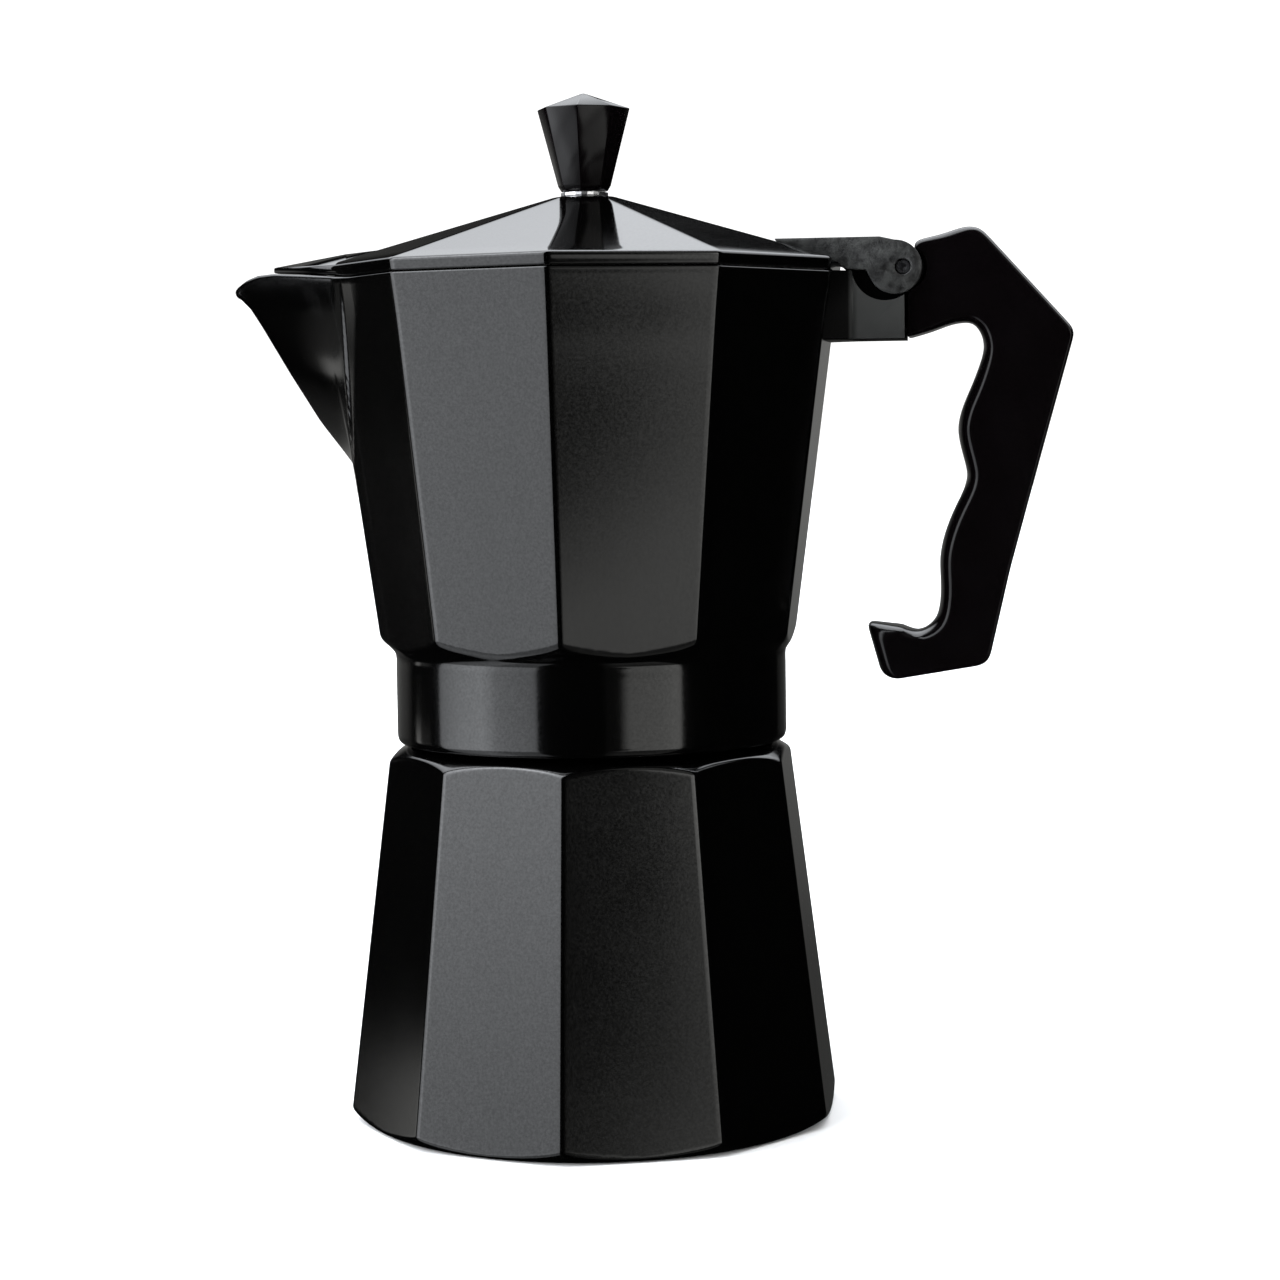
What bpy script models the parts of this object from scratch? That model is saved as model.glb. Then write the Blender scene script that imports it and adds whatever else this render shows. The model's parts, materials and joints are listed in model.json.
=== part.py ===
"""Six-cup stovetop moka pot, modelled as the separate pieces it is put together from.

Frame: +Z up, origin at the centre of the boiler's flat bottom, handle towards +X and spout
towards -X. The castings have ten flat sides, with the middle of a side facing +X and -X.
"""

import math

import bmesh
import bpy
from mathutils import Matrix, Vector

MM = 0.001
WELD = 0.004 * MM               # points closer than this are one point

# ---- the ten-sided castings --------------------------------------------------------------
SIDES = 10
ROUND = 60                      # segments of a turned surface: a multiple of SIDES
HIDDEN_ROUND = 36               # segments of the round pieces inside
CORNER_START = math.pi / SIDES  # the first corner, half a side away from +X
FLAT = math.cos(math.pi / SIDES)  # distance to a side's middle over distance to a corner

BOILER_FOOT_R = 52.95 * MM      # corner radius at the boiler's bottom
BOILER_TOP_R = 43.0 * MM        # corner radius at the boiler's shoulder
BOILER_SHOULDER_Z = 78.7 * MM
BOILER_FLOOR = 3.2 * MM
NECK_TOP_Z = 88.6 * MM
NECK_R = 36.4 * MM
NECK_BORE_R = 33.2 * MM

RING_R = 41.2 * MM              # the chamber's plain round ring
RING_BOTTOM_Z = 79.0 * MM
RING_BORE_R = 38.7 * MM
SEAT_Z = 93.3 * MM              # where the gasket presses on the chamber
CHAMBER_FLOOR_Z = 100.4 * MM
CHAMBER_LOW_R = 44.3 * MM       # corner radius where the sides start
CHAMBER_FLARE_Z = 169.0 * MM    # above this the sides flare a little more
CHAMBER_FLARE_R = 53.95 * MM
RIM_Z = 176.3 * MM
RIM_R = 55.3 * MM
WALL = 2.7 * MM

# ---- thread --------------------------------------------------------------------------------
PITCH = 4.0 * MM
THREAD_STEPS = 36               # steps in one turn of the thread
NECK_CREST_R = 37.8 * MM
RING_CREST_R = 37.1 * MM
THREAD_ROOT_HALF = 1.0 * MM
THREAD_CREST_HALF = 0.55 * MM

# ---- spout ---------------------------------------------------------------------------------
# Heights with the spout's keel (x) and the crease where it leaves the sides (x, y).
SPOUT_SECTIONS = (
    (131.0 * MM, -46.2 * MM, -45.4 * MM, 13.0 * MM),
    (137.7 * MM, -50.3 * MM, -47.1 * MM, 15.0 * MM),
    (147.0 * MM, -57.6 * MM, -47.3 * MM, 17.8 * MM),
    (157.2 * MM, -64.0 * MM, -47.2 * MM, 20.6 * MM),
    (167.9 * MM, -70.3 * MM, -46.9 * MM, 23.4 * MM),
    (172.7 * MM, -73.4 * MM, -46.8 * MM, 24.6 * MM),
    (174.3 * MM, -76.3 * MM, -46.7 * MM, 25.0 * MM),
    (180.0 * MM, -76.8 * MM, -46.6 * MM, 26.4 * MM),
)
SPOUT_BACK_X = -30.0 * MM
SPOUT_WALL = 2.6 * MM
SPOUT_RIM = (                   # side view of the rim from the chamber out to the lip
    (-44.0 * MM, 176.3 * MM),
    (-58.0 * MM, 177.6 * MM),
    (-65.0 * MM, 178.2 * MM),
    (-69.0 * MM, 178.05 * MM),
    (-72.0 * MM, 177.3 * MM),
    (-74.6 * MM, 176.0 * MM),
    (-76.6 * MM, 174.4 * MM),
    (-79.0 * MM, 172.3 * MM),
)

# ---- lid and hinge -------------------------------------------------------------------------
LID_BOTTOM_Z = 176.6 * MM
LID_EAVE_Z = 180.4 * MM
LID_TOP_Z = 193.3 * MM
LID_TOP_R = 6.6 * MM
LID_SHELL = 2.0 * MM
BEAK_TIP_X = -66.7 * MM
BEAK_SLOPE = 0.0925             # rise of the beak's underside, to follow the spout's rim
HINGE_X = 66.7 * MM
HINGE_Z = 177.1 * MM
HINGE_PIN_R = 1.5 * MM
HINGE_HOLE_R = 1.6 * MM
EAR_R = 6.2 * MM
EAR_X = 65.1 * MM
EAR_INNER = 8.3 * MM            # half the space between the lid's ears
HINGE_HALF = 11.0 * MM          # half the width over the ears
ARM_TOP_Z = 183.3 * MM
ARM_NOTCH_X = 58.8 * MM
CHEEK_HALF = 8.0 * MM           # half the width of the bracket between the ears
CHEEK_R = 4.2 * MM
TONGUE_HALF = 3.9 * MM
CHANNEL_HALF = 4.2 * MM
CHANNEL_FLOOR_Z = 165.0 * MM
BRACKET_BOTTOM_Z = 162.6 * MM
BRACKET_TOP_Z = 176.0 * MM
BRACKET_END_X = 67.0 * MM

# ---- handle --------------------------------------------------------------------------------
HANDLE_HALF = 8.0 * MM

# ---- knob ----------------------------------------------------------------------------------
KNOB_SIDES = 8
KNOB_BOTTOM_Z = 194.5 * MM
KNOB_TOP_Z = 215.0 * MM
SCREW_R = 1.5 * MM
SCREW_HOLE_R = 1.75 * MM

# ---- safety valve --------------------------------------------------------------------------
VALVE_AZIMUTH = math.radians(72.0)
VALVE_Z = 52.0 * MM
VALVE_HOLE_R = 5.2 * MM

# ---- perforated discs ----------------------------------------------------------------------
HOLE_SIDES = 6


# ============================================================================================
# scene and materials
# ============================================================================================

def clear_scene():
    """Remove every object that the file starts with."""
    for obj in list(bpy.data.objects):
        bpy.data.objects.remove(obj, do_unlink=True)


def principled(name, colour, roughness, metallic):
    """A plain Principled material."""
    material = bpy.data.materials.new(name)
    material.use_nodes = True
    shader = material.node_tree.nodes["Principled BSDF"]
    shader.inputs["Base Color"].default_value = (*colour, 1.0)
    shader.inputs["Roughness"].default_value = roughness
    shader.inputs["Metallic"].default_value = metallic
    material.diffuse_color = (*colour, 1.0)
    return material


def make_materials():
    """The finishes that the pieces share."""
    return {
        "enamel": principled("black_enamel", (0.022, 0.023, 0.024), 0.30, 0.0),
        "plastic": principled("black_plastic", (0.012, 0.010, 0.012), 0.22, 0.0),
        "aluminium": principled("bare_aluminium", (0.72, 0.72, 0.73), 0.35, 1.0),
        "steel": principled("steel", (0.55, 0.55, 0.56), 0.30, 1.0),
        "brass": principled("brass", (0.72, 0.52, 0.22), 0.30, 1.0),
        "rubber": principled("silicone", (0.80, 0.80, 0.77), 0.60, 0.0),
    }


# ============================================================================================
# mesh tools
# ============================================================================================

def finish_object(name, mesh_data, material=None, sharp_degrees=25.0):
    """Turn a bmesh into an object, smooth where neighbouring faces nearly line up."""
    bmesh.ops.recalc_face_normals(mesh_data, faces=mesh_data.faces[:])
    mesh = bpy.data.meshes.new(name)
    mesh_data.to_mesh(mesh)
    mesh_data.free()
    obj = bpy.data.objects.new(name, mesh)
    bpy.context.scene.collection.objects.link(obj)
    if material is not None:
        mesh.materials.append(material)
    mesh.shade_smooth()
    mesh.set_sharp_from_angle(angle=math.radians(sharp_degrees))
    return obj


def lofted(name, rings, material=None):
    """A closed body through rings of equally many points, with flat end caps."""
    data = bmesh.new()
    rows = [[data.verts.new(point) for point in ring] for ring in rings]
    count = len(rows[0])
    for lower, upper in zip(rows, rows[1:]):
        for i in range(count):
            j = (i + 1) % count
            data.faces.new((lower[i], lower[j], upper[j], upper[i]))
    data.faces.new(list(reversed(rows[0])))
    data.faces.new(rows[-1])
    return finish_object(name, data, material)


def turned(name, profile, material=None, segments=ROUND):
    """A closed body of revolution about Z from a closed (radius, z) outline."""
    data = bmesh.new()
    rows = []
    for radius, z in profile:
        if radius < 1e-7:
            rows.append([data.verts.new((0.0, 0.0, z))] * segments)
            continue
        row = []
        for i in range(segments):
            angle = 2.0 * math.pi * i / segments
            row.append(data.verts.new((radius * math.cos(angle), radius * math.sin(angle), z)))
        rows.append(row)
    for row, following in zip(rows, rows[1:] + rows[:1]):
        for i in range(segments):
            j = (i + 1) % segments
            corners = []
            for vert in (row[i], row[j], following[j], following[i]):
                if vert not in corners:
                    corners.append(vert)
            if len(corners) > 2:
                data.faces.new(corners)
    return finish_object(name, data, material)


def prism(name, outline, low, high, axis="Y", material=None):
    """A flat outline, (x, z) for axis Y or (x, y) for axis Z, given a thickness."""
    def place(point, level):
        if axis == "Y":
            return (point[0], level, point[1])
        return (point[0], point[1], level)
    rings = [[place(point, level) for point in outline] for level in (low, high)]
    return lofted(name, rings, material)


def cylinder(name, radius, low, high, segments=24, material=None):
    """An upright round bar about Z."""
    return turned(name, [(0.0, low), (radius, low), (radius, high), (0.0, high)],
                  material, segments)


def cross_bar(name, radius, x, z, low, high, segments=32):
    """A round bar along Y through (x, z)."""
    outline = arc((x, z), radius, 0.0, 360.0, segments)[:-1]
    return prism(name, outline, low, high)


def arc(centre, radius, start, stop, steps):
    """Points on an arc from start to stop degrees, both ends included."""
    points = []
    for i in range(steps + 1):
        angle = math.radians(start + (stop - start) * i / steps)
        points.append((centre[0] + radius * math.cos(angle), centre[1] + radius * math.sin(angle)))
    return points


def weld(mesh):
    """Merge points that a cut leaves a hair apart."""
    data = bmesh.new()
    data.from_mesh(mesh)
    bmesh.ops.remove_doubles(data, verts=data.verts[:], dist=WELD)
    bmesh.ops.dissolve_degenerate(data, dist=WELD, edges=data.edges[:])
    data.to_mesh(mesh)
    data.free()


def boolean(target, tool, operation):
    """Join, cut or intersect two objects for good, and drop the second."""
    modifier = target.modifiers.new(operation, "BOOLEAN")
    modifier.operation = operation
    modifier.solver = "EXACT"
    modifier.object = tool
    depsgraph = bpy.context.evaluated_depsgraph_get()
    mesh = bpy.data.meshes.new_from_object(target.evaluated_get(depsgraph))
    target.modifiers.clear()
    target.data = mesh
    bpy.data.objects.remove(tool, do_unlink=True)
    weld(mesh)
    return target


def join(target, *tools):
    """Union several objects into the first."""
    for tool in tools:
        boolean(target, tool, "UNION")
    return target


def cut(target, *tools):
    """Cut several objects out of the first."""
    for tool in tools:
        boolean(target, tool, "DIFFERENCE")
    return target


def dress(obj, material, sharp_degrees=25.0):
    """Give a finished piece one material, merged duplicates and clean shading."""
    data = bmesh.new()
    data.from_mesh(obj.data)
    bmesh.ops.dissolve_limit(data, angle_limit=math.radians(0.05), verts=data.verts[:],
                             edges=data.edges[:])
    bmesh.ops.triangulate(data, faces=[face for face in data.faces if len(face.verts) > 4])
    data.to_mesh(obj.data)
    data.free()
    obj.data.materials.clear()
    obj.data.materials.append(material)
    for polygon in obj.data.polygons:
        polygon.material_index = 0
    obj.data.shade_smooth()
    obj.data.set_sharp_from_angle(angle=math.radians(sharp_degrees))
    return obj


def set_origin(obj, point):
    """Move an object's origin to a point without moving its shape."""
    obj.data.transform(Matrix.Translation(-Vector(point)))
    obj.location = point


def decagon(radius, z):
    """The ten corners of a casting at one height."""
    ring = []
    for i in range(SIDES):
        angle = CORNER_START + 2.0 * math.pi * i / SIDES
        ring.append((radius * math.cos(angle), radius * math.sin(angle), z))
    return ring


def thread_ridge(name, root, crest, z_start, turns):
    """A helical ridge of trapezoid section that fades out over its last steps."""
    steps = round(turns * THREAD_STEPS)
    fade = 4
    rings = []
    for i in range(steps + 1):
        angle = 2.0 * math.pi * i / THREAD_STEPS
        z = z_start + PITCH * i / THREAD_STEPS
        depth = min(1.0, 0.25 + 0.75 * i / fade, 0.25 + 0.75 * (steps - i) / fade)
        top = root + (crest - root) * depth
        section = (
            (root, -THREAD_ROOT_HALF),
            (top, -THREAD_CREST_HALF),
            (top, THREAD_CREST_HALF),
            (root, THREAD_ROOT_HALF),
        )
        rings.append([(r * math.cos(angle), r * math.sin(angle), z + dz) for r, dz in section])
    return lofted(name, rings)


def hole_centres(pitch, limit):
    """Centres of a hexagonal field of holes within a radius."""
    centres = []
    reach = int(limit / pitch) + 1
    for row in range(-reach, reach + 1):
        for column in range(-reach, reach + 1):
            x = (column + 0.5 * (row % 2)) * pitch
            y = row * pitch * math.sqrt(3.0) / 2.0
            if math.hypot(x, y) <= limit:
                centres.append((x, y))
    return centres


def perforated_disc(name, radius, low, high, hole_radius, centres, material):
    """A flat disc with a field of small holes."""
    disc = cylinder(name, radius, low, high, HIDDEN_ROUND)
    data = bmesh.new()
    for x, y in centres:
        rim = arc((x, y), hole_radius, 0.0, 360.0, HOLE_SIDES)[:-1]
        rows = [[data.verts.new((px, py, level)) for px, py in rim]
                for level in (low - MM, high + MM)]
        for i in range(HOLE_SIDES):
            j = (i + 1) % HOLE_SIDES
            data.faces.new((rows[0][i], rows[0][j], rows[1][j], rows[1][i]))
        data.faces.new(list(reversed(rows[0])))
        data.faces.new(rows[1])
    drills = finish_object("drills", data)
    return dress(cut(disc, drills), material)


# ============================================================================================
# boiler
# ============================================================================================

def boiler_corner_radius(z):
    """Corner radius of the boiler's sides at a height."""
    return BOILER_FOOT_R + (BOILER_TOP_R - BOILER_FOOT_R) * z / BOILER_SHOULDER_Z


def valve_frame():
    """Matrix of the valve: its +Z points straight out of the boiler's side."""
    apothem = boiler_corner_radius(VALVE_Z) * FLAT
    lean = (BOILER_FOOT_R - BOILER_TOP_R) * FLAT / BOILER_SHOULDER_Z
    outward = Vector((math.cos(VALVE_AZIMUTH), math.sin(VALVE_AZIMUTH), lean)).normalized()
    across = Vector((-math.sin(VALVE_AZIMUTH), math.cos(VALVE_AZIMUTH), 0.0))
    up = outward.cross(across)
    centre = Vector((apothem * math.cos(VALVE_AZIMUTH), apothem * math.sin(VALVE_AZIMUTH),
                     VALVE_Z))
    matrix = Matrix((across, up, outward)).transposed()
    if matrix.determinant() < 0.0:
        matrix = Matrix((across, -up, outward)).transposed()
    return Matrix.Translation(centre) @ matrix.to_4x4()


def boiler(materials):
    """Cast boiler: ten sides, round neck with an outside thread, boss for the valve."""
    body = lofted("boiler", [decagon(boiler_corner_radius(-5.0 * MM), -5.0 * MM),
                             decagon(boiler_corner_radius(95.0 * MM), 95.0 * MM)])
    envelope = turned("envelope", [
        (0.0, 0.0), (49.0 * MM, 0.0), (50.1 * MM, 0.6 * MM), (51.4 * MM, 1.5 * MM),
        (52.6 * MM, 2.7 * MM), (53.6 * MM, 4.2 * MM), (60.0 * MM, 20.0 * MM),
        (60.0 * MM, 60.0 * MM), (44.4 * MM, 75.1 * MM), (42.6 * MM, 76.6 * MM),
        (40.6 * MM, 77.9 * MM), (39.0 * MM, BOILER_SHOULDER_Z), (NECK_R, BOILER_SHOULDER_Z),
        (NECK_R, NECK_TOP_Z - 0.5 * MM), (NECK_R - 0.5 * MM, NECK_TOP_Z), (0.0, NECK_TOP_Z),
    ])
    boolean(body, envelope, "INTERSECT")
    boss = cylinder("boss", 8.0 * MM, -6.5 * MM, -1.0 * MM, 24)
    boss.data.transform(valve_frame())
    water = turned("water", [
        (0.0, BOILER_FLOOR), (44.5 * MM, BOILER_FLOOR), (46.3 * MM, 5.0 * MM),
        (38.2 * MM, 68.0 * MM), (NECK_BORE_R, 74.0 * MM), (NECK_BORE_R, 95.0 * MM),
        (0.0, 95.0 * MM),
    ])
    cut(body, water)
    join(body, boss)
    hole = cylinder("hole", VALVE_HOLE_R, -12.0 * MM, 5.0 * MM, 24)
    hole.data.transform(valve_frame())
    cut(body, hole)
    ridge = thread_ridge("ridge", NECK_R - 0.6 * MM, NECK_CREST_R, 80.9 * MM, 1.5)
    join(body, ridge)
    return dress(body, materials["enamel"])


# ============================================================================================
# safety valve, drawn upright about Z and then placed on the boiler's side
# ============================================================================================

def hexagon(radius, z):
    """Six corners of a spanner hexagon."""
    return [(radius * math.cos(math.radians(60.0 * i)), radius * math.sin(math.radians(60.0 * i)),
             z) for i in range(6)]


def valve_body(materials):
    """Brass body: hexagon outside, shank through the wall, seat at its inner end."""
    head = lofted("valve_body", [hexagon(7.3 * MM, 1.4 * MM), hexagon(7.5 * MM, 1.7 * MM),
                                 hexagon(7.5 * MM, 4.4 * MM), hexagon(6.6 * MM, 5.0 * MM)])
    shank = cylinder("shank", 4.9 * MM, -9.0 * MM, 2.0 * MM, 24)
    collar = cylinder("collar", 5.4 * MM, 4.0 * MM, 6.4 * MM, 24)
    join(head, shank, collar)
    bore = turned("bore", [
        (0.0, -10.0 * MM), (1.5 * MM, -10.0 * MM), (1.5 * MM, -6.5 * MM),
        (2.9 * MM, -6.2 * MM), (2.9 * MM, 4.6 * MM), (3.8 * MM, 4.6 * MM),
        (3.8 * MM, 7.0 * MM), (0.0, 7.0 * MM),
    ], segments=24)
    return dress(cut(head, bore), materials["brass"])


def valve_washer(materials):
    """Flat sealing ring between the valve's hexagon and the boiler."""
    return turned("valve_washer", [
        (5.3 * MM, 0.3 * MM), (7.2 * MM, 0.3 * MM), (7.2 * MM, 1.1 * MM), (5.3 * MM, 1.1 * MM),
    ], materials["rubber"], 24)


def valve_plunger(materials):
    """Disc that closes the seat, with the stem that shows outside."""
    return turned("valve_plunger", [
        (0.0, -5.9 * MM), (2.3 * MM, -5.9 * MM), (2.5 * MM, -5.6 * MM), (2.5 * MM, -4.9 * MM),
        (1.0 * MM, -4.9 * MM), (1.0 * MM, 7.4 * MM), (0.7 * MM, 7.8 * MM), (0.0, 7.8 * MM),
    ], materials["steel"], 20)


def valve_spring(materials):
    """Compression spring between the plunger's disc and the cap."""
    coils, per_coil, sides = 5, 12, 6
    wire, mean = 0.3 * MM, 1.95 * MM
    low, high = -4.2 * MM, 4.2 * MM
    steps = coils * per_coil
    rings = []
    for i in range(steps + 1):
        angle = 2.0 * math.pi * i / per_coil
        z = low + (high - low) * i / steps
        ring = []
        for k in range(sides):
            turn = 2.0 * math.pi * k / sides
            r = mean + wire * math.cos(turn)
            ring.append((r * math.cos(angle), r * math.sin(angle), z + wire * math.sin(turn)))
        rings.append(ring)
    return lofted("valve_spring", rings, materials["steel"])


def valve_cap(materials):
    """Ring pressed into the body's mouth: it holds the spring and guides the stem."""
    return turned("valve_cap", [
        (1.3 * MM, 4.9 * MM), (3.5 * MM, 4.9 * MM), (3.5 * MM, 6.0 * MM), (1.3 * MM, 6.0 * MM),
    ], materials["brass"], 24)


def place_valve(materials):
    """Build the valve's pieces and stand them on the boiler's side."""
    frame = valve_frame()
    for build in (valve_body, valve_washer, valve_spring, valve_cap, valve_plunger):
        piece = build(materials)
        piece.matrix_world = frame


# ============================================================================================
# funnel and seal
# ============================================================================================

def funnel(materials):
    """Coffee basket with its flange, the tube below it and the sieve inside it."""
    turned("funnel_basket", [
        (36.0 * MM, 89.7 * MM), (36.0 * MM, 88.9 * MM), (32.2 * MM, 88.9 * MM),
        (31.3 * MM, 88.0 * MM), (31.3 * MM, 69.0 * MM), (30.0 * MM, 67.0 * MM),
        (7.4 * MM, 62.3 * MM), (7.4 * MM, 63.5 * MM), (29.4 * MM, 68.0 * MM),
        (30.4 * MM, 69.6 * MM), (30.4 * MM, 88.4 * MM), (31.7 * MM, 89.7 * MM),
    ], materials["aluminium"], HIDDEN_ROUND)
    turned("funnel_tube", [
        (9.0 * MM, 64.9 * MM), (9.0 * MM, 64.1 * MM), (7.1 * MM, 63.7 * MM),
        (7.1 * MM, 58.0 * MM), (5.6 * MM, 54.0 * MM), (5.6 * MM, 6.5 * MM),
        (4.7 * MM, 6.5 * MM), (4.7 * MM, 54.3 * MM), (6.2 * MM, 58.3 * MM),
        (6.2 * MM, 64.2 * MM), (7.0 * MM, 64.9 * MM),
    ], materials["aluminium"], 24)
    centres = hole_centres(8.4 * MM, 26.0 * MM)
    perforated_disc("funnel_sieve", 30.0 * MM, 70.0 * MM, 70.8 * MM, 0.8 * MM, centres,
                    materials["aluminium"])


def gasket(materials):
    """Silicone ring with an inner lip under the filter plate."""
    turned("gasket", [
        (36.9 * MM, 93.0 * MM), (36.9 * MM, 90.0 * MM), (27.0 * MM, 90.0 * MM),
        (27.0 * MM, 91.6 * MM), (30.4 * MM, 91.6 * MM), (30.4 * MM, 93.0 * MM),
    ], materials["rubber"], HIDDEN_ROUND)


def filter_plate(materials):
    """Perforated disc above the coffee."""
    centres = hole_centres(7.8 * MM, 25.0 * MM)
    perforated_disc("filter_plate", 30.0 * MM, 91.9 * MM, 92.7 * MM, 0.8 * MM, centres,
                    materials["aluminium"])


# ============================================================================================
# upper chamber
# ============================================================================================

def spout_ring(section, inset):
    """Outline of the spout at one height, moved inwards by inset."""
    z, keel_x, crease_x, crease_y = section
    side = Vector((crease_x - keel_x, crease_y))
    spread = max(side.y / side.length, 0.3)
    keel = keel_x + inset / spread
    run = (side.x / side.length) * inset
    crease = (crease_x + inset * 0.6, max(crease_y - run - inset * 0.5, 2.0 * MM))
    return [
        (keel, 0.0, z), (crease[0], -crease[1], z), (SPOUT_BACK_X, -crease[1] * 0.6, z),
        (SPOUT_BACK_X, crease[1] * 0.6, z), (crease[0], crease[1], z),
    ]


def spout_wedge(name, inset, lowest):
    """The V-shaped spout as a solid wedge."""
    sections = [section for section in SPOUT_SECTIONS if section[0] >= lowest]
    return lofted(name, [spout_ring(section, inset) for section in sections])


def rim_trim(name):
    """Everything above the chamber's rim, with its lower face following the spout."""
    outline = list(SPOUT_RIM)
    outline += [(-90.0 * MM, 172.3 * MM), (-90.0 * MM, 200.0 * MM), (60.0 * MM, 200.0 * MM),
                (60.0 * MM, RIM_Z)]
    return prism(name, outline, -70.0 * MM, 70.0 * MM)


def bracket(name):
    """Solid block that the handle and lid hang on, flared where it meets the side."""
    plan = [
        (49.2 * MM, -15.4 * MM), (52.4 * MM, -14.6 * MM), (54.4 * MM, -12.0 * MM),
        (56.4 * MM, -HINGE_HALF), (BRACKET_END_X, -HINGE_HALF),
        (BRACKET_END_X, HINGE_HALF), (56.4 * MM, HINGE_HALF), (54.4 * MM, 12.0 * MM),
        (52.4 * MM, 14.6 * MM), (49.2 * MM, 15.4 * MM),
    ]
    block = prism(name, plan, BRACKET_BOTTOM_Z, BRACKET_TOP_Z, axis="Z")
    cheek_outline = arc((HINGE_X, HINGE_Z), CHEEK_R, -45.0, 170.0, 18)
    cheek_outline += [(60.5 * MM, 175.8 * MM), (60.5 * MM, 170.0 * MM)]
    half = CHEEK_HALF + 0.5 * MM
    join(block, prism("cheek", cheek_outline, -half, half))
    for side in (-1.0, 1.0):
        inner = side * CHEEK_HALF
        outer = side * (HINGE_HALF + 1.0 * MM)
        pocket = cross_bar("pocket", 6.6 * MM, 63.9 * MM, 177.2 * MM,
                           min(inner, outer), max(inner, outer))
        swing = cross_bar("swing", 6.6 * MM, EAR_X, HINGE_Z, min(inner, outer),
                          max(inner, outer))
        cut(block, pocket, swing)
    channel = prism("channel", [
        (57.0 * MM, CHANNEL_FLOOR_Z), (75.0 * MM, CHANNEL_FLOOR_Z), (75.0 * MM, 190.0 * MM),
        (57.0 * MM, 190.0 * MM),
    ], -CHANNEL_HALF, CHANNEL_HALF)
    hole = cross_bar("hole", HINGE_HOLE_R, HINGE_X, HINGE_Z, -20.0 * MM, 20.0 * MM, 24)
    return cut(block, channel, hole)


def upper_chamber(materials):
    """Collector casting: ring with an inside thread, floor, sides, spout and bracket."""
    body = lofted("upper_chamber", [
        decagon(CHAMBER_LOW_R, 70.0 * MM), decagon(CHAMBER_LOW_R, 98.1 * MM),
        decagon(CHAMBER_FLARE_R, CHAMBER_FLARE_Z),
        decagon(RIM_R + 0.75 * MM, RIM_Z + 3.9 * MM),
    ])
    envelope = turned("envelope", [
        (0.0, RING_BOTTOM_Z), (39.6 * MM, RING_BOTTOM_Z), (40.6 * MM, 79.5 * MM),
        (RING_R, 80.6 * MM), (RING_R, 97.6 * MM), (41.5 * MM, 98.6 * MM), (42.4 * MM, 99.7 * MM),
        (43.7 * MM, 100.9 * MM), (44.9 * MM, 102.2 * MM), (46.2 * MM, 104.0 * MM),
        (60.0 * MM, 130.0 * MM), (60.0 * MM, 185.0 * MM), (0.0, 185.0 * MM),
    ])
    boolean(body, envelope, "INTERSECT")
    join(body, spout_wedge("spout", 0.0, 0.0))
    cut(body, rim_trim("trim"))
    hollow = lofted("hollow", [
        decagon(39.4 * MM, CHAMBER_FLOOR_Z), decagon(41.6 * MM, 103.2 * MM),
        decagon(CHAMBER_FLARE_R - WALL, CHAMBER_FLARE_Z),
        decagon(RIM_R - WALL + 0.6 * MM, RIM_Z + 8.0 * MM),
    ])
    join(hollow, spout_wedge("channel", SPOUT_WALL, 146.0 * MM))
    cut(body, hollow)
    join(body, bracket("bracket"))
    socket = turned("socket", [
        (0.0, 70.0 * MM), (RING_BORE_R, 70.0 * MM), (RING_BORE_R, 89.4 * MM),
        (37.3 * MM, 90.4 * MM), (37.3 * MM, SEAT_Z), (27.5 * MM, SEAT_Z),
        (25.5 * MM, 95.4 * MM), (6.4 * MM, 96.6 * MM), (6.4 * MM, 110.0 * MM), (0.0, 110.0 * MM),
    ])
    cut(body, socket)
    ridge = thread_ridge("ridge", RING_BORE_R + 0.6 * MM, RING_CREST_R, 82.9 * MM, 1.25)
    join(body, ridge)
    return dress(body, materials["enamel"])


def column(materials):
    """Chimney: tapered tube with a closed top and two side slots."""
    tube = turned("column", [
        (0.0, 153.2 * MM), (3.6 * MM, 152.2 * MM), (5.2 * MM, 149.5 * MM), (7.4 * MM, 102.6 * MM),
        (8.6 * MM, 101.9 * MM), (8.6 * MM, 100.7 * MM), (6.1 * MM, 100.7 * MM),
        (6.1 * MM, 96.9 * MM), (4.6 * MM, 96.9 * MM), (3.8 * MM, 149.0 * MM),
        (2.6 * MM, 150.8 * MM), (0.0, 151.4 * MM),
    ], segments=24)
    slot = prism("slot", [
        (-2.0 * MM, 143.0 * MM), (2.0 * MM, 143.0 * MM), (2.0 * MM, 148.0 * MM),
        (-2.0 * MM, 148.0 * MM),
    ], -10.0 * MM, 10.0 * MM)
    return dress(cut(tube, slot), materials["aluminium"])


# ============================================================================================
# lid, knob and hinge
# ============================================================================================

def convex(name, points):
    """The convex body through a few corner points."""
    data = bmesh.new()
    verts = [data.verts.new(point) for point in points]
    result = bmesh.ops.convex_hull(data, input=verts)
    inside = [item for item in result["geom_interior"] if isinstance(item, bmesh.types.BMVert)]
    bmesh.ops.delete(data, geom=inside, context="VERTS")
    return finish_object(name, data)


def underside(x):
    """Height of the lid's lower face above the spout, a little above the spout's rim."""
    return LID_BOTTOM_Z + 0.05 * MM + (SPOUT_RIM[0][0] - x) * BEAK_SLOPE


def spout_clearance(name):
    """What the lid's rim gives way to where it crosses the spout."""
    near, far, low = SPOUT_RIM[0][0], -75.0 * MM, 165.0 * MM
    outline = [(near, low), (near, underside(near)), (far, underside(far)), (far, low)]
    return prism(name, outline, -60.0 * MM, 60.0 * MM)


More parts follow.
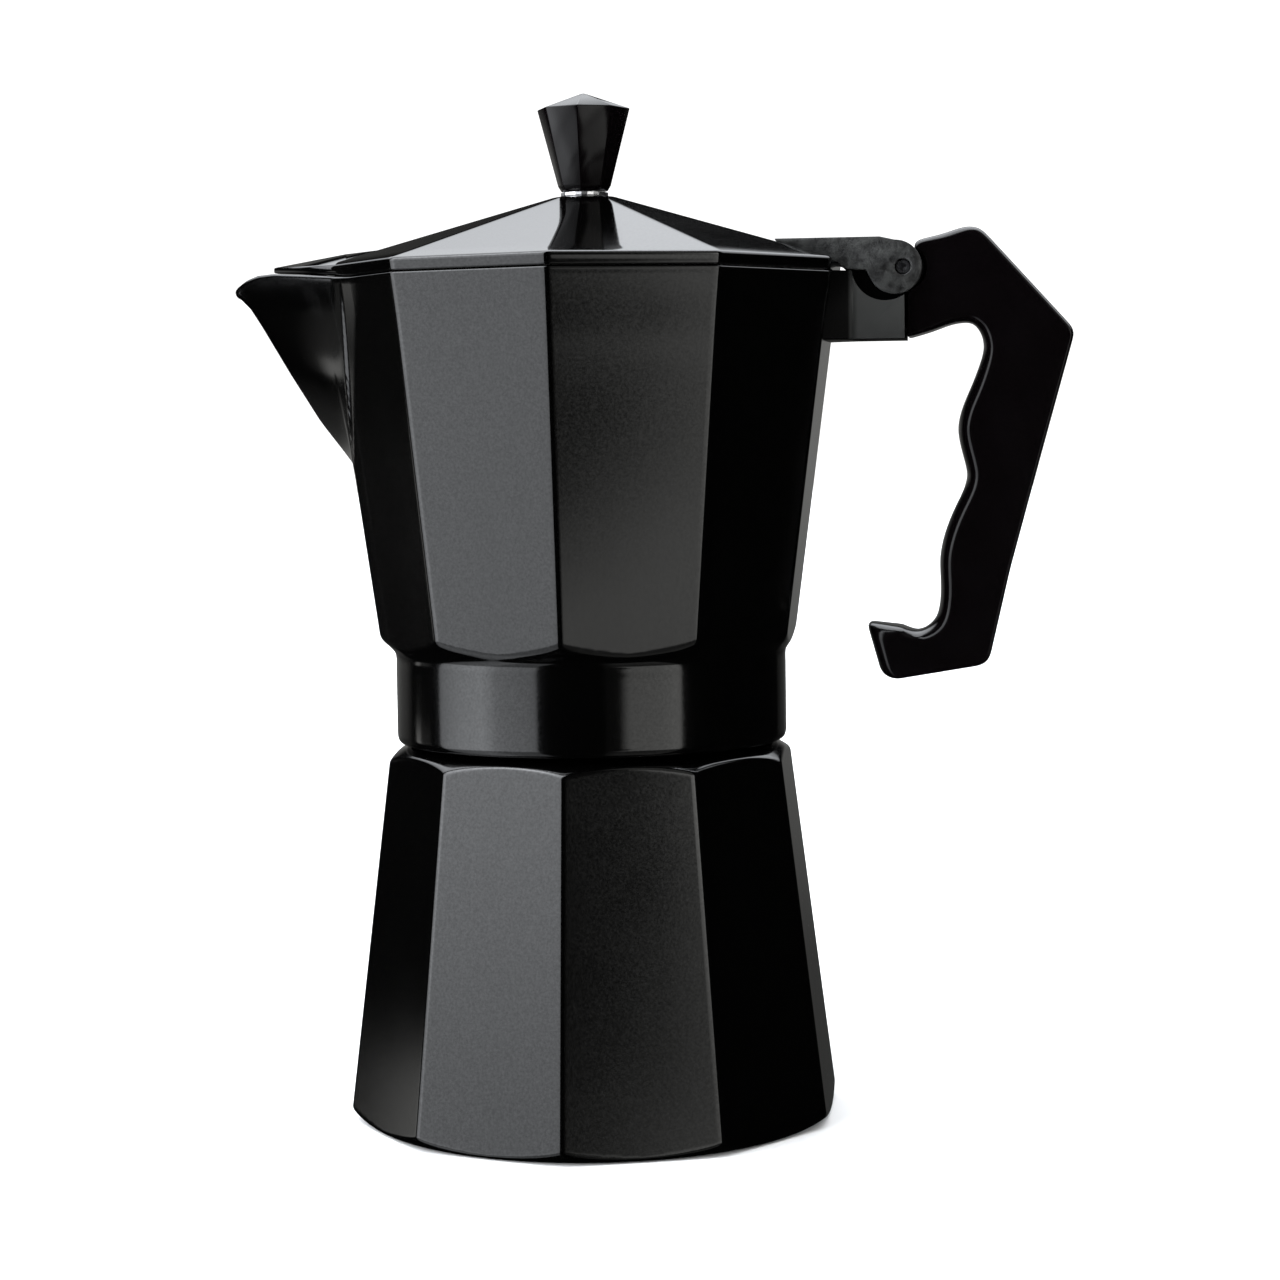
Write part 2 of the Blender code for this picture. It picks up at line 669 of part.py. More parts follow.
def beak(name):
    """The lid's overhang that covers the spout."""
    root_x, root_y = -45.6 * MM, 25.6 * MM
    tip_y = 1.2 * MM
    points = [(-40.0 * MM, 0.0, 184.2 * MM), (-51.0 * MM, 0.0, 182.9 * MM)]
    for side in (-1.0, 1.0):
        points += [
            (-36.0 * MM, side * 18.0 * MM, 178.0 * MM),
            (root_x, side * root_y, underside(root_x)),
            (root_x, side * root_y, 180.2 * MM),
            (BEAK_TIP_X, side * tip_y, underside(BEAK_TIP_X)),
            (BEAK_TIP_X, side * tip_y, underside(BEAK_TIP_X) + 1.0 * MM),
        ]
    return convex(name, points)


def hinge_arm(name):
    """Arm with a flat top that ends in two ears."""
    end = arc((EAR_X, HINGE_Z), EAR_R, 90.0, -150.0, 20)
    outline = [(40.5 * MM, ARM_TOP_Z), (62.0 * MM, ARM_TOP_Z)] + end
    outline += [(59.2 * MM, 176.6 * MM), (55.0 * MM, 176.75 * MM), (53.4 * MM, 178.2 * MM),
                (46.0 * MM, 180.4 * MM), (41.2 * MM, 182.4 * MM)]
    arm = prism(name, outline, -HINGE_HALF, HINGE_HALF)
    notch = prism("notch", [
        (ARM_NOTCH_X, 160.0 * MM), (80.0 * MM, 160.0 * MM), (80.0 * MM, 190.0 * MM),
        (ARM_NOTCH_X, 190.0 * MM),
    ], -EAR_INNER, EAR_INNER)
    hole = cross_bar("hole", HINGE_HOLE_R, HINGE_X, HINGE_Z, -20.0 * MM, 20.0 * MM, 24)
    return cut(arm, notch, hole)


def lid(materials):
    """Ten-sided shell with a rim band, the beak and the hinge arm."""
    body = lofted("lid", [
        decagon(RIM_R, LID_BOTTOM_Z), decagon(RIM_R + 0.1 * MM, LID_EAVE_Z - 0.8 * MM),
        decagon(RIM_R - 0.6 * MM, LID_EAVE_Z), decagon(LID_TOP_R, LID_TOP_Z),
    ])
    join(body, beak("beak"), hinge_arm("arm"))
    hollow = lofted("hollow", [
        decagon(RIM_R - 2.4 * MM, LID_BOTTOM_Z - 5.0 * MM),
        decagon(RIM_R - 2.6 * MM, LID_EAVE_Z - LID_SHELL - 0.6 * MM),
        decagon(LID_TOP_R, LID_TOP_Z - LID_SHELL - 0.6 * MM),
    ])
    cut(body, hollow, cylinder("hole", SCREW_HOLE_R, 180.0 * MM, 200.0 * MM))
    cut(body, spout_clearance("clearance"))
    return dress(body, materials["enamel"])


def knob(materials):
    """Eight-sided plastic knob, wider towards its low pointed top."""
    def octagon(radius, z):
        return [(radius * math.cos(2.0 * math.pi * i / KNOB_SIDES),
                 radius * math.sin(2.0 * math.pi * i / KNOB_SIDES), z) for i in range(KNOB_SIDES)]
    body = lofted("knob", [
        octagon(4.9 * MM, KNOB_BOTTOM_Z), octagon(5.6 * MM, 195.6 * MM),
        octagon(9.8 * MM, 211.6 * MM), octagon(0.4 * MM, KNOB_TOP_Z),
    ])
    cut(body, cylinder("hole", SCREW_HOLE_R, 190.0 * MM, 207.0 * MM))
    return dress(body, materials["plastic"])


def knob_fixings(materials):
    """Collar above the lid, screw and lock washer below it."""
    collar = turned("knob_washer", [
        (SCREW_HOLE_R, 193.6 * MM), (5.0 * MM, 193.6 * MM), (5.0 * MM, 194.2 * MM),
        (SCREW_HOLE_R, 194.2 * MM),
    ], materials["aluminium"], 24)
    lock = turned("knob_lock_washer", [
        (SCREW_HOLE_R, 189.6 * MM), (3.6 * MM, 189.6 * MM), (3.6 * MM, 190.3 * MM),
        (SCREW_HOLE_R, 190.3 * MM),
    ], materials["steel"], 24)
    screw = turned("knob_screw", [
        (0.0, 206.4 * MM), (SCREW_R - 0.4 * MM, 206.4 * MM), (SCREW_R, 206.0 * MM),
        (SCREW_R, 189.3 * MM), (2.9 * MM, 189.3 * MM), (2.9 * MM, 187.9 * MM),
        (2.2 * MM, 187.3 * MM), (0.0, 187.3 * MM),
    ], segments=24)
    slot = prism("slot", [
        (-4.0 * MM, 187.0 * MM), (4.0 * MM, 187.0 * MM), (4.0 * MM, 188.0 * MM),
        (-4.0 * MM, 188.0 * MM),
    ], -0.35 * MM, 0.35 * MM)
    return collar, lock, dress(cut(screw, slot), materials["steel"])


def hinge_pin(materials):
    """Pin through the ears, the bracket and the handle's tongue."""
    half = HINGE_HALF - 0.4 * MM
    pin = turned("hinge_pin", [
        (0.0, half - 0.9 * MM), (0.8 * MM, half), (HINGE_PIN_R - 0.2 * MM, half),
        (HINGE_PIN_R, half - 0.2 * MM), (HINGE_PIN_R, 0.2 * MM - half),
        (HINGE_PIN_R - 0.2 * MM, -half), (0.8 * MM, -half), (0.0, 0.9 * MM - half),
    ], materials["steel"], 24)
    pin.rotation_euler = (math.radians(90.0), 0.0, 0.0)
    pin.location = (HINGE_X, 0.0, HINGE_Z)
    return pin


# ============================================================================================
# handle
# ============================================================================================

def smooth_path(points, steps):
    """Points along an open Catmull-Rom curve."""
    out = []
    for i in range(len(points) - 1):
        a = Vector(points[max(i - 1, 0)])
        b = Vector(points[i])
        c = Vector(points[i + 1])
        d = Vector(points[min(i + 2, len(points) - 1)])
        for k in range(steps):
            t = k / steps
            bend = (2.0 * a - 5.0 * b + 4.0 * c - d) * t * t
            twist = (3.0 * b - a - 3.0 * c + d) * t * t * t
            out.append(tuple(0.5 * (2.0 * b + (c - a) * t + bend + twist)))
    out.append(tuple(points[-1]))
    return out


def handle_outline():
    """Side view of the handle: straight outer back, waves for the fingers inside."""
    back = [(69.4, 182.7), (74.3, 183.8)]
    elbow = [(78.6, 184.6), (80.4, 184.7), (82.0, 184.3), (83.4, 183.1)]
    shoulder = [(99.3, 165.7), (100.4, 164.5), (100.9, 163.2), (100.8, 162.0)]
    heel = [(94.3, 137.4), (88.2, 114.9), (84.6, 99.6), (84.2, 98.0), (83.4, 96.7), (82.0, 95.9)]
    hook = [(64.1, 92.9), (62.0, 94.0), (59.6, 102.2), (59.9, 103.6), (61.2, 104.1)]
    waves = [
        (65.6, 103.2), (69.0, 102.1), (72.4, 103.8), (74.4, 106.8), (75.3, 111.5),
        (75.5, 117.1), (76.5, 122.2), (78.2, 127.1), (80.3, 131.4), (80.6, 134.6),
        (79.2, 138.9), (78.7, 143.7), (79.4, 148.2), (81.2, 152.9), (83.3, 157.3),
        (83.8, 160.6), (83.0, 163.6), (81.0, 165.6), (78.6, 165.9), (75.8, 165.4),
        (72.1, 164.1), (67.6, 162.9),
    ]
    points = back + elbow + shoulder + heel + hook + smooth_path(waves, 2)
    return [(x * MM, z * MM) for x, z in points]


def handle(materials):
    """Plastic handle with a tongue that fits the bracket's channel."""
    outline = handle_outline()
    body = prism("handle", outline, -HANDLE_HALF, HANDLE_HALF)
    clearance = cross_bar("clearance", CHEEK_R + 0.4 * MM, HINGE_X, HINGE_Z,
                          -20.0 * MM, 20.0 * MM)
    front = prism("front", [
        (50.0 * MM, 150.0 * MM), (BRACKET_END_X + 0.35 * MM, 150.0 * MM),
        (BRACKET_END_X + 0.35 * MM, 172.0 * MM), (69.0 * MM, 172.6 * MM),
        (69.0 * MM, 190.0 * MM), (50.0 * MM, 190.0 * MM),
    ], -20.0 * MM, 20.0 * MM)
    cut(body, clearance, front)
    tongue = prism("tongue", [
        (75.0 * MM, 165.8 * MM), (75.0 * MM, 182.0 * MM), (69.0 * MM, 181.4 * MM),
        (63.6 * MM, 180.6 * MM), (60.6 * MM, 177.6 * MM), (58.2 * MM, 175.6 * MM),
        (57.4 * MM, 174.0 * MM), (57.4 * MM, CHANNEL_FLOOR_Z + 0.3 * MM),
        (70.0 * MM, CHANNEL_FLOOR_Z + 0.3 * MM),
    ], -TONGUE_HALF, TONGUE_HALF)
    join(body, tongue)
    cut(body, cross_bar("hole", HINGE_HOLE_R, HINGE_X, HINGE_Z, -20.0 * MM, 20.0 * MM, 24))
    bevel = body.modifiers.new("rounded edges", "BEVEL")
    bevel.width = 1.4 * MM
    bevel.segments = 1
    bevel.limit_method = "ANGLE"
    bevel.angle_limit = math.radians(60.0)
    return dress(body, materials["plastic"])


def main():
    clear_scene()
    materials = make_materials()
    boiler(materials)
    place_valve(materials)
    funnel(materials)
    gasket(materials)
    filter_plate(materials)
    upper_chamber(materials)
    column(materials)
    for piece in (lid(materials), knob(materials), *knob_fixings(materials)):
        set_origin(piece, (HINGE_X, 0.0, HINGE_Z))
    hinge_pin(materials)
    handle(materials)


main()
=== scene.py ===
"""Looks of the moka pot: finely rounded castings, materials, studio light and camera.

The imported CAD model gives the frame. The castings, the lid, the knob and the handle are made
again here with softened edges, and the small pieces keep their CAD shape with better materials.
Lengths are in millimetres inside the shape functions and in metres in the meshes.
"""

import json
import math

import bmesh
import bpy
import numpy as np
from mathutils import Matrix, Vector


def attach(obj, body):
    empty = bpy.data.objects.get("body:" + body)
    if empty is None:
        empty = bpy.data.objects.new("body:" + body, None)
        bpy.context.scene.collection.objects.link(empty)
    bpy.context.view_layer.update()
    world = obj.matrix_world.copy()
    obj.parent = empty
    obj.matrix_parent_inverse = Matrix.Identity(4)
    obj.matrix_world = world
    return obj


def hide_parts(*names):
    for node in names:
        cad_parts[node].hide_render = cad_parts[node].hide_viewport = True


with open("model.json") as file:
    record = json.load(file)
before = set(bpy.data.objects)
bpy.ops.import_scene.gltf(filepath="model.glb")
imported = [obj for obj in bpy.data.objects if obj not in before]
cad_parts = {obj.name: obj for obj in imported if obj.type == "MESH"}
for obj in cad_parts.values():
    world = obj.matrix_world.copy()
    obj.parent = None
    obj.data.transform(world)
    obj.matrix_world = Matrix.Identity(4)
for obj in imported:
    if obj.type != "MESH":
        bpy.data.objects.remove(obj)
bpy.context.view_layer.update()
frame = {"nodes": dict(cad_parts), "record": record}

MM = 0.001
SIDES = 10
HALF_SIDE = math.pi / SIDES

# ---- sizes that the CAD frame also has, in millimetres ---------------------------------------
BOILER_FOOT_R = 52.95           # corner radius of the boiler at its bottom
BOILER_TOP_R = 43.0             # corner radius at its shoulder
SHOULDER_Z = 78.7
FLOOR_Z = 3.2
NECK_R = 36.4
NECK_TOP_Z = 88.6
NECK_CREST_R = 37.8
NECK_BORE_R = 33.2
PITCH = 4.0

RING_R = 41.2
RING_BOTTOM_Z = 79.5
RING_BORE_R = 38.7
RING_CREST_R = 37.1
SEAT_Z = 93.3
CHAMBER_FLOOR_Z = 100.4
CHAMBER_LOW_R = 44.3
CHAMBER_LOW_Z = 98.1
FLARE_Z = 169.0
FLARE_R = 53.95
RIM_Z = 176.3
RIM_R = 55.3
WALL = 2.6
SPOUT_FROM_Z = 126.0            # the spout begins above this height outside
SPOUT_HOLLOW_FROM_Z = 132.0     # and above this height inside
CREASE_FALL = 70.0              # fall of the spout's radius past its crease, per radian
FLANK_SLOPE = 0.055             # lean of the sides' swelling next to the crease

LID_BOTTOM_Z = 176.6
LID_EAVE_Z = 179.1
LID_TOP_Z = 193.3
LID_TOP_R = 6.6
HINGE_X = 66.7
HINGE_Z = 177.1
EAR_X = 65.1
EAR_R = 5.5
HINGE_HALF = 11.0
LIFT_FROM_X = 44.0              # the lid's lower edge rises past this distance from the axis
LIFT_SLOPE = 0.0925
PIN_HOLE_R = 1.6
SCREW_HOLE_R = 1.75
KNOB_SIDES = 8
HANDLE_HALF = 8.0
TONGUE_HALF = 3.9
CHANNEL_HALF = 4.2              # half width of the bracket's channel for the tongue

# Spout: height, keel (x), and the crease where it leaves the sides (x, y).
SPOUT = np.array((
    (125.0, 41.0, 44.6, 12.0),
    (131.0, 46.2, 45.4, 13.0),
    (137.7, 50.3, 47.1, 15.0),
    (147.0, 57.6, 47.3, 17.8),
    (157.2, 64.0, 47.2, 20.6),
    (167.9, 70.3, 46.9, 23.4),
    (172.7, 73.4, 46.8, 24.6),
    (174.3, 76.3, 46.7, 25.0),
    (180.0, 76.8, 46.6, 26.4),
))
# Side view of the rim, from the chamber out to the lip.
SPOUT_RIM = np.array((
    (44.0, 176.3), (58.0, 177.6), (65.0, 178.2), (69.0, 178.05), (72.0, 177.3),
    (74.6, 176.0), (76.6, 174.4), (79.0, 172.3),
))


# ==============================================================================================
# curves
# ==============================================================================================

def soft_min(a, b, reach):
    """The smaller of two values, rounded off where they are within reach of each other."""
    overlap = np.maximum(reach - np.abs(a - b), 0.0) / reach
    return np.minimum(a, b) - overlap * overlap * reach * 0.25


def soft_max(a, b, reach):
    """The larger of two values, rounded off where they are within reach of each other."""
    return -soft_min(-np.asarray(a), -np.asarray(b), reach)


def spline(points, steps):
    """Points along an open Catmull-Rom curve, of any number of coordinates."""
    points = [np.array(point, float) for point in points]
    out = []
    for i in range(len(points) - 1):
        a = points[max(i - 1, 0)]
        b = points[i]
        c = points[i + 1]
        d = points[min(i + 2, len(points) - 1)]
        for k in range(steps):
            t = k / steps
            out.append(0.5 * (2.0 * b + (c - a) * t + (2.0 * a - 5.0 * b + 4.0 * c - d) * t * t
                              + (3.0 * b - a - 3.0 * c + d) * t ** 3))
    out.append(points[-1])
    return out


def bend(a, corner, b, steps):
    """Points on the curve from a to b that is pulled towards corner."""
    a, corner, b = (np.array(point, float) for point in (a, corner, b))
    out = []
    for i in range(steps + 1):
        t = i / steps
        out.append(a * (1 - t) ** 2 + corner * 2 * t * (1 - t) + b * t * t)
    return out


def rounded(points, steps=5):
    """An open path through (u, v, radius) points, each corner rounded by its own radius."""
    points = [np.array(point, float) for point in points]
    out = [points[0][:2]]
    for i in range(1, len(points) - 1):
        corner, radius = points[i][:2], points[i][2]
        if radius == 0.0:
            out.append(corner)
            continue
        ends = []
        for other in (points[i - 1], points[i + 1]):
            step = other[:2] - corner
            ends.append(corner + step * min(0.5, radius / np.hypot(*step)))
        out += bend(ends[0], corner, ends[1], steps)
    out.append(points[-1][:2])
    return out


# ==============================================================================================
# meshes
# ==============================================================================================

def linked(name, data):
    """A new object in the scene."""
    obj = bpy.data.objects.new(name, data)
    bpy.context.scene.collection.objects.link(obj)
    return obj


def mesh_object(name, points, faces):
    """A smooth-shaded mesh object from points in millimetres and faces."""
    mesh = bpy.data.meshes.new(name)
    mesh.from_pydata((np.asarray(points, float) * MM).tolist(), [], faces)
    mesh.update()
    obj = linked(name, mesh)
    data = bmesh.new()
    data.from_mesh(mesh)
    bmesh.ops.recalc_face_normals(data, faces=data.faces[:])
    data.to_mesh(mesh)
    data.free()
    mesh.shade_smooth()
    return obj


def skin(name, angles, rows, closed=True):
    """A surface all round Z through rows of (radius, height), each a number or one per angle.

    Closed joins the last row to the first, and otherwise both ends are capped.
    """
    count = len(angles)
    flat = np.zeros(count)
    points = []
    for radius, height in rows:
        radius = flat + radius
        height = flat + height
        points.append(np.stack((radius * np.cos(angles), radius * np.sin(angles), height), 1))
    faces = []
    levels = len(rows)
    for level in range(levels if closed else levels - 1):
        low = level * count
        high = ((level + 1) % levels) * count
        for i in range(count):
            j = (i + 1) % count
            faces.append((low + i, low + j, high + j, high + i))
    if not closed:
        faces.append(tuple(range(count)))
        faces.append(tuple(range((levels - 1) * count, levels * count)))
    return mesh_object(name, np.concatenate(points), faces)


def side_angles():
    """Angles all round, packed near the corners of the ten sides."""
    near_corner = (0.0, 0.15, 0.3, 0.45, 0.62, 0.85, 1.2, 1.9, 3.2, 5.5, 9.0, 13.5, 18.0)
    angles = set()
    for side in range(SIDES):
        corner = HALF_SIDE + 2.0 * HALF_SIDE * side
        for step in near_corner:
            for sign in (-1.0, 1.0):
                angles.add(round((corner + sign * math.radians(step)) % (2.0 * math.pi), 7))
    return np.array(sorted(angles))


def polygon(angles, apothem, reach=0.45):
    """Radius of the ten-sided outline with softened corners in each direction."""
    side = 2.0 * HALF_SIDE
    turn = np.abs((angles + HALF_SIDE) % side - HALF_SIDE)
    return soft_min(apothem / np.cos(turn), apothem / np.cos(side - turn), reach)


def stacked(name, rings):
    """A capped solid through rings of points that all have the same number of points."""
    count = len(rings[0])
    faces = []
    for level in range(len(rings) - 1):
        low = level * count
        for i in range(count):
            j = (i + 1) % count
            faces.append((low + i, low + j, low + count + j, low + count + i))
    faces += [tuple(range(count)), tuple(range((len(rings) - 1) * count, len(rings) * count))]
    return mesh_object(name, np.concatenate(rings), faces)


def prism(name, outline, low, high):
    """An (x, z) outline given a thickness along Y."""
    return stacked(name, [[(x, y, z) for x, z in outline] for y in (low, high)])


def plate(name, outline, low, high):
    """An (x, y) outline given a thickness along Z."""
    return stacked(name, [[(x, y, z) for x, y in outline] for z in (low, high)])


def arc(centre, radius, start, stop, steps):
    """Points on an arc from start to stop degrees, both ends included."""
    angles = np.radians(np.linspace(start, stop, steps + 1))
    return [(centre[0] + radius * math.cos(a), centre[1] + radius * math.sin(a)) for a in angles]


def bar(name, radius, x, z, low, high, segments):
    """A round bar along Y."""
    return prism(name, arc((x, z), radius, 0.0, 360.0, segments)[:-1], low, high)


def combine(target, tool, operation):
    """Join, cut or intersect two objects for good, and drop the second."""
    modifier = target.modifiers.new(operation, "BOOLEAN")
    modifier.operation = operation
    modifier.solver = "EXACT"
    modifier.object = tool
    bake(target)
    bpy.data.objects.remove(tool, do_unlink=True)


def bake(obj):
    """Apply an object's modifiers."""
    depsgraph = bpy.context.evaluated_depsgraph_get()
    mesh = bpy.data.meshes.new_from_object(obj.evaluated_get(depsgraph))
    obj.modifiers.clear()
    obj.data = mesh


def clean(obj):
    """Merge the doubled points and flat facets that cuts leave."""
    data = bmesh.new()
    data.from_mesh(obj.data)
    bmesh.ops.remove_doubles(data, verts=data.verts[:], dist=0.01 * MM)
    bmesh.ops.dissolve_limit(data, angle_limit=math.radians(0.5), verts=data.verts[:],
                             edges=data.edges[:])
    data.to_mesh(obj.data)
    data.free()
    return obj


def soften(obj, width, segments=3, degrees=35.0):
    """Round the sharp edges of a made-up piece."""
    bevel = obj.modifiers.new("soft edges", "BEVEL")
    bevel.width = width * MM
    bevel.segments = segments
    bevel.limit_method = "ANGLE"
    bevel.angle_limit = math.radians(degrees)
    bevel.harden_normals = True
    bake(obj)
    obj.data.shade_smooth()
    obj.data.set_sharp_from_angle(angle=math.radians(40.0))
    return obj


def merge(name, *parts):
    """Several objects as one."""
    data = bmesh.new()
    for part in parts:
        data.from_mesh(part.data)
        bpy.data.objects.remove(part, do_unlink=True)
    mesh = bpy.data.meshes.new(name)
    data.to_mesh(mesh)
    data.free()
    return linked(name, mesh)


# ==============================================================================================
# boiler
# ==============================================================================================

def helix(angles, z, start, turns, root_half=1.0, crest_half=0.55):
    """How far a screw thread stands out, from 0 to 1, in each direction at one height."""
    height = np.zeros_like(angles)
    for lap in range(int(math.ceil(turns)) + 1):
        turn = angles / (2.0 * math.pi) + lap
        centre = start + PITCH * turn
        rise = (root_half - np.abs(z - centre)) / (root_half - crest_half)
        ends = np.clip(np.minimum(turn, turns - turn) * 9.0, 0.0, 1.0)
        height = np.maximum(height, np.clip(rise, 0.0, 1.0) * ends)
    return height * height * (3.0 - 2.0 * height)


def boiler_apothem(z):
    """Distance of the boiler's sides from the axis."""
    corner = BOILER_FOOT_R + (BOILER_TOP_R - BOILER_FOOT_R) * z / SHOULDER_Z
    return corner * math.cos(HALF_SIDE)


def make_boiler():
    """Boiler with softened corners, scalloped foot and shoulder, and its screw thread."""
    angles = side_angles()
    rows = [(0.4, 0.0), (20.0, 0.0), (40.0, 0.0), (47.5, 0.0)]
    foot = spline([(48.4, 0.0), (49.2, 0.15), (50.1, 0.6), (51.4, 1.5), (52.6, 2.7), (53.6, 4.2),
                   (55.5, 8.0)], 6)
    sides = [(60.0, z) for z in np.arange(9.0, 70.0, 4.0)]
    shoulder = spline([(46.0, 73.6), (44.4, 75.1), (42.6, 76.6), (40.6, 77.9), (39.2, 78.6)], 8)
    for envelope, z in foot + sides + shoulder:
        side = polygon(angles, boiler_apothem(z))
        rows.append((soft_min(side, envelope, 0.7), z))
    rows += [(38.6, SHOULDER_Z), (37.4, SHOULDER_Z), (NECK_R + 0.3, SHOULDER_Z)]
    for z in np.arange(SHOULDER_Z + 0.3, NECK_TOP_Z - 0.5, 0.16):
        ridge = helix(angles, z, 80.9, 1.5) * (NECK_CREST_R - NECK_R)
        rows.append((NECK_R + ridge, z))
    rows += rounded([(NECK_R, NECK_TOP_Z - 0.5, 0), (NECK_R, NECK_TOP_Z, 0.4),
                     (NECK_BORE_R, NECK_TOP_Z, 0.4), (NECK_BORE_R, 74.0, 1.5),
                     (38.2, 68.0, 2.0), (46.3, 5.0, 0.8), (44.5, FLOOR_Z, 0.8), (0.4, FLOOR_Z, 0)])
    return skin("boiler_casting", angles, rows, closed=False)


# ==============================================================================================
# upper chamber
# ==============================================================================================

def chamber_apothem(z):
    """Distance of the chamber's sides from the axis, with a soft bend where they flare."""
    slope = (FLARE_R - CHAMBER_LOW_R) / (FLARE_Z - CHAMBER_LOW_Z)
    flare = (RIM_R - FLARE_R) / (RIM_Z - FLARE_Z)
    lower = CHAMBER_LOW_R + slope * (z - CHAMBER_LOW_Z)
    upper = FLARE_R + flare * (z - FLARE_Z)
    return float(soft_max(lower, upper, 0.35)) * math.cos(HALF_SIDE)


def spout_radius(angles, z, inset):
    """Radius of the V-shaped spout in each direction, far inside where there is none."""
    keel, crease_x, crease_y = (np.interp(z, SPOUT[:, 0], SPOUT[:, i]) for i in (1, 2, 3))
    lean = max(keel - crease_x, 0.0)
    away = np.clip(angles - math.pi, -1.0, 1.0)
    along = crease_y * np.cos(away)
    across = lean * np.sin(away)
    reach = crease_y * keel - inset * math.hypot(crease_y, lean)
    sides = [reach / np.maximum(along + sign * across, 1.0) for sign in (-1.0, 1.0)]
    radius = soft_min(sides[0], sides[1], 1.1 if inset == 0.0 else 1.6)
    beyond = np.maximum(np.abs(away) - math.atan2(crease_y, crease_x), 0.0)
    return radius - CREASE_FALL * beyond


def spout_flank(angles, z, side):
    """How far the side swells towards the spout, over a width that grows with height."""
    crease_x, crease_y = (np.interp(z, SPOUT[:, 0], SPOUT[:, i]) for i in (2, 3))
    away = np.abs(angles - math.pi)
    distance = side * np.maximum(away - math.atan2(crease_y, crease_x), 0.0)
    width = np.interp(z, (140.0, 176.0), (0.0, 7.0))
    return FLANK_SLOPE * np.maximum(width - distance, 0.0)


def chamber_outside(angles, z):
    """Radius of the chamber's outer surface in each direction."""
    side = polygon(angles, chamber_apothem(z), 0.5)
    if z < SPOUT_FROM_Z:
        return side
    side = side + spout_flank(angles, z, side)
    return soft_max(side, spout_radius(angles, z, 0.0), 0.7)


def chamber_inside(angles, z):
    """Radius of the chamber's inner surface in each direction."""
    side = polygon(angles, chamber_apothem(z) - WALL, 1.2)
    if z <= SPOUT_HOLLOW_FROM_Z:
        return side
    return soft_max(side, spout_radius(angles, z, WALL), 1.2)


def rim_height(angles, radius):
    """Height of the rim's flat top at a radius in each direction."""
    return np.interp(-radius * np.cos(angles), SPOUT_RIM[:, 0], SPOUT_RIM[:, 1])


def at_heights(surface, angles, heights):
    """Radius of a surface in each direction, each at its own height."""
    levels = np.arange(math.floor(heights.min() * 5.0) / 5.0, heights.max() + 0.4, 0.2)
    table = np.array([surface(angles, z) for z in levels])
    place = (heights - levels[0]) / 0.2
    low = np.clip(place.astype(int), 0, len(levels) - 2)
    share = place - low
    columns = np.arange(len(angles))
    return table[low, columns] * (1.0 - share) + table[low + 1, columns] * share


def rim_meets(surface, angles):
    """Height where a surface meets the rim in each direction."""
    low = np.full(len(angles), 165.0)
    high = np.full(len(angles), 182.0)
    for _ in range(24):
        middle = 0.5 * (low + high)
        above = middle > rim_height(angles, at_heights(surface, angles, middle))
        high = np.where(above, middle, high)
        low = np.where(above, low, middle)
    return 0.5 * (low + high)


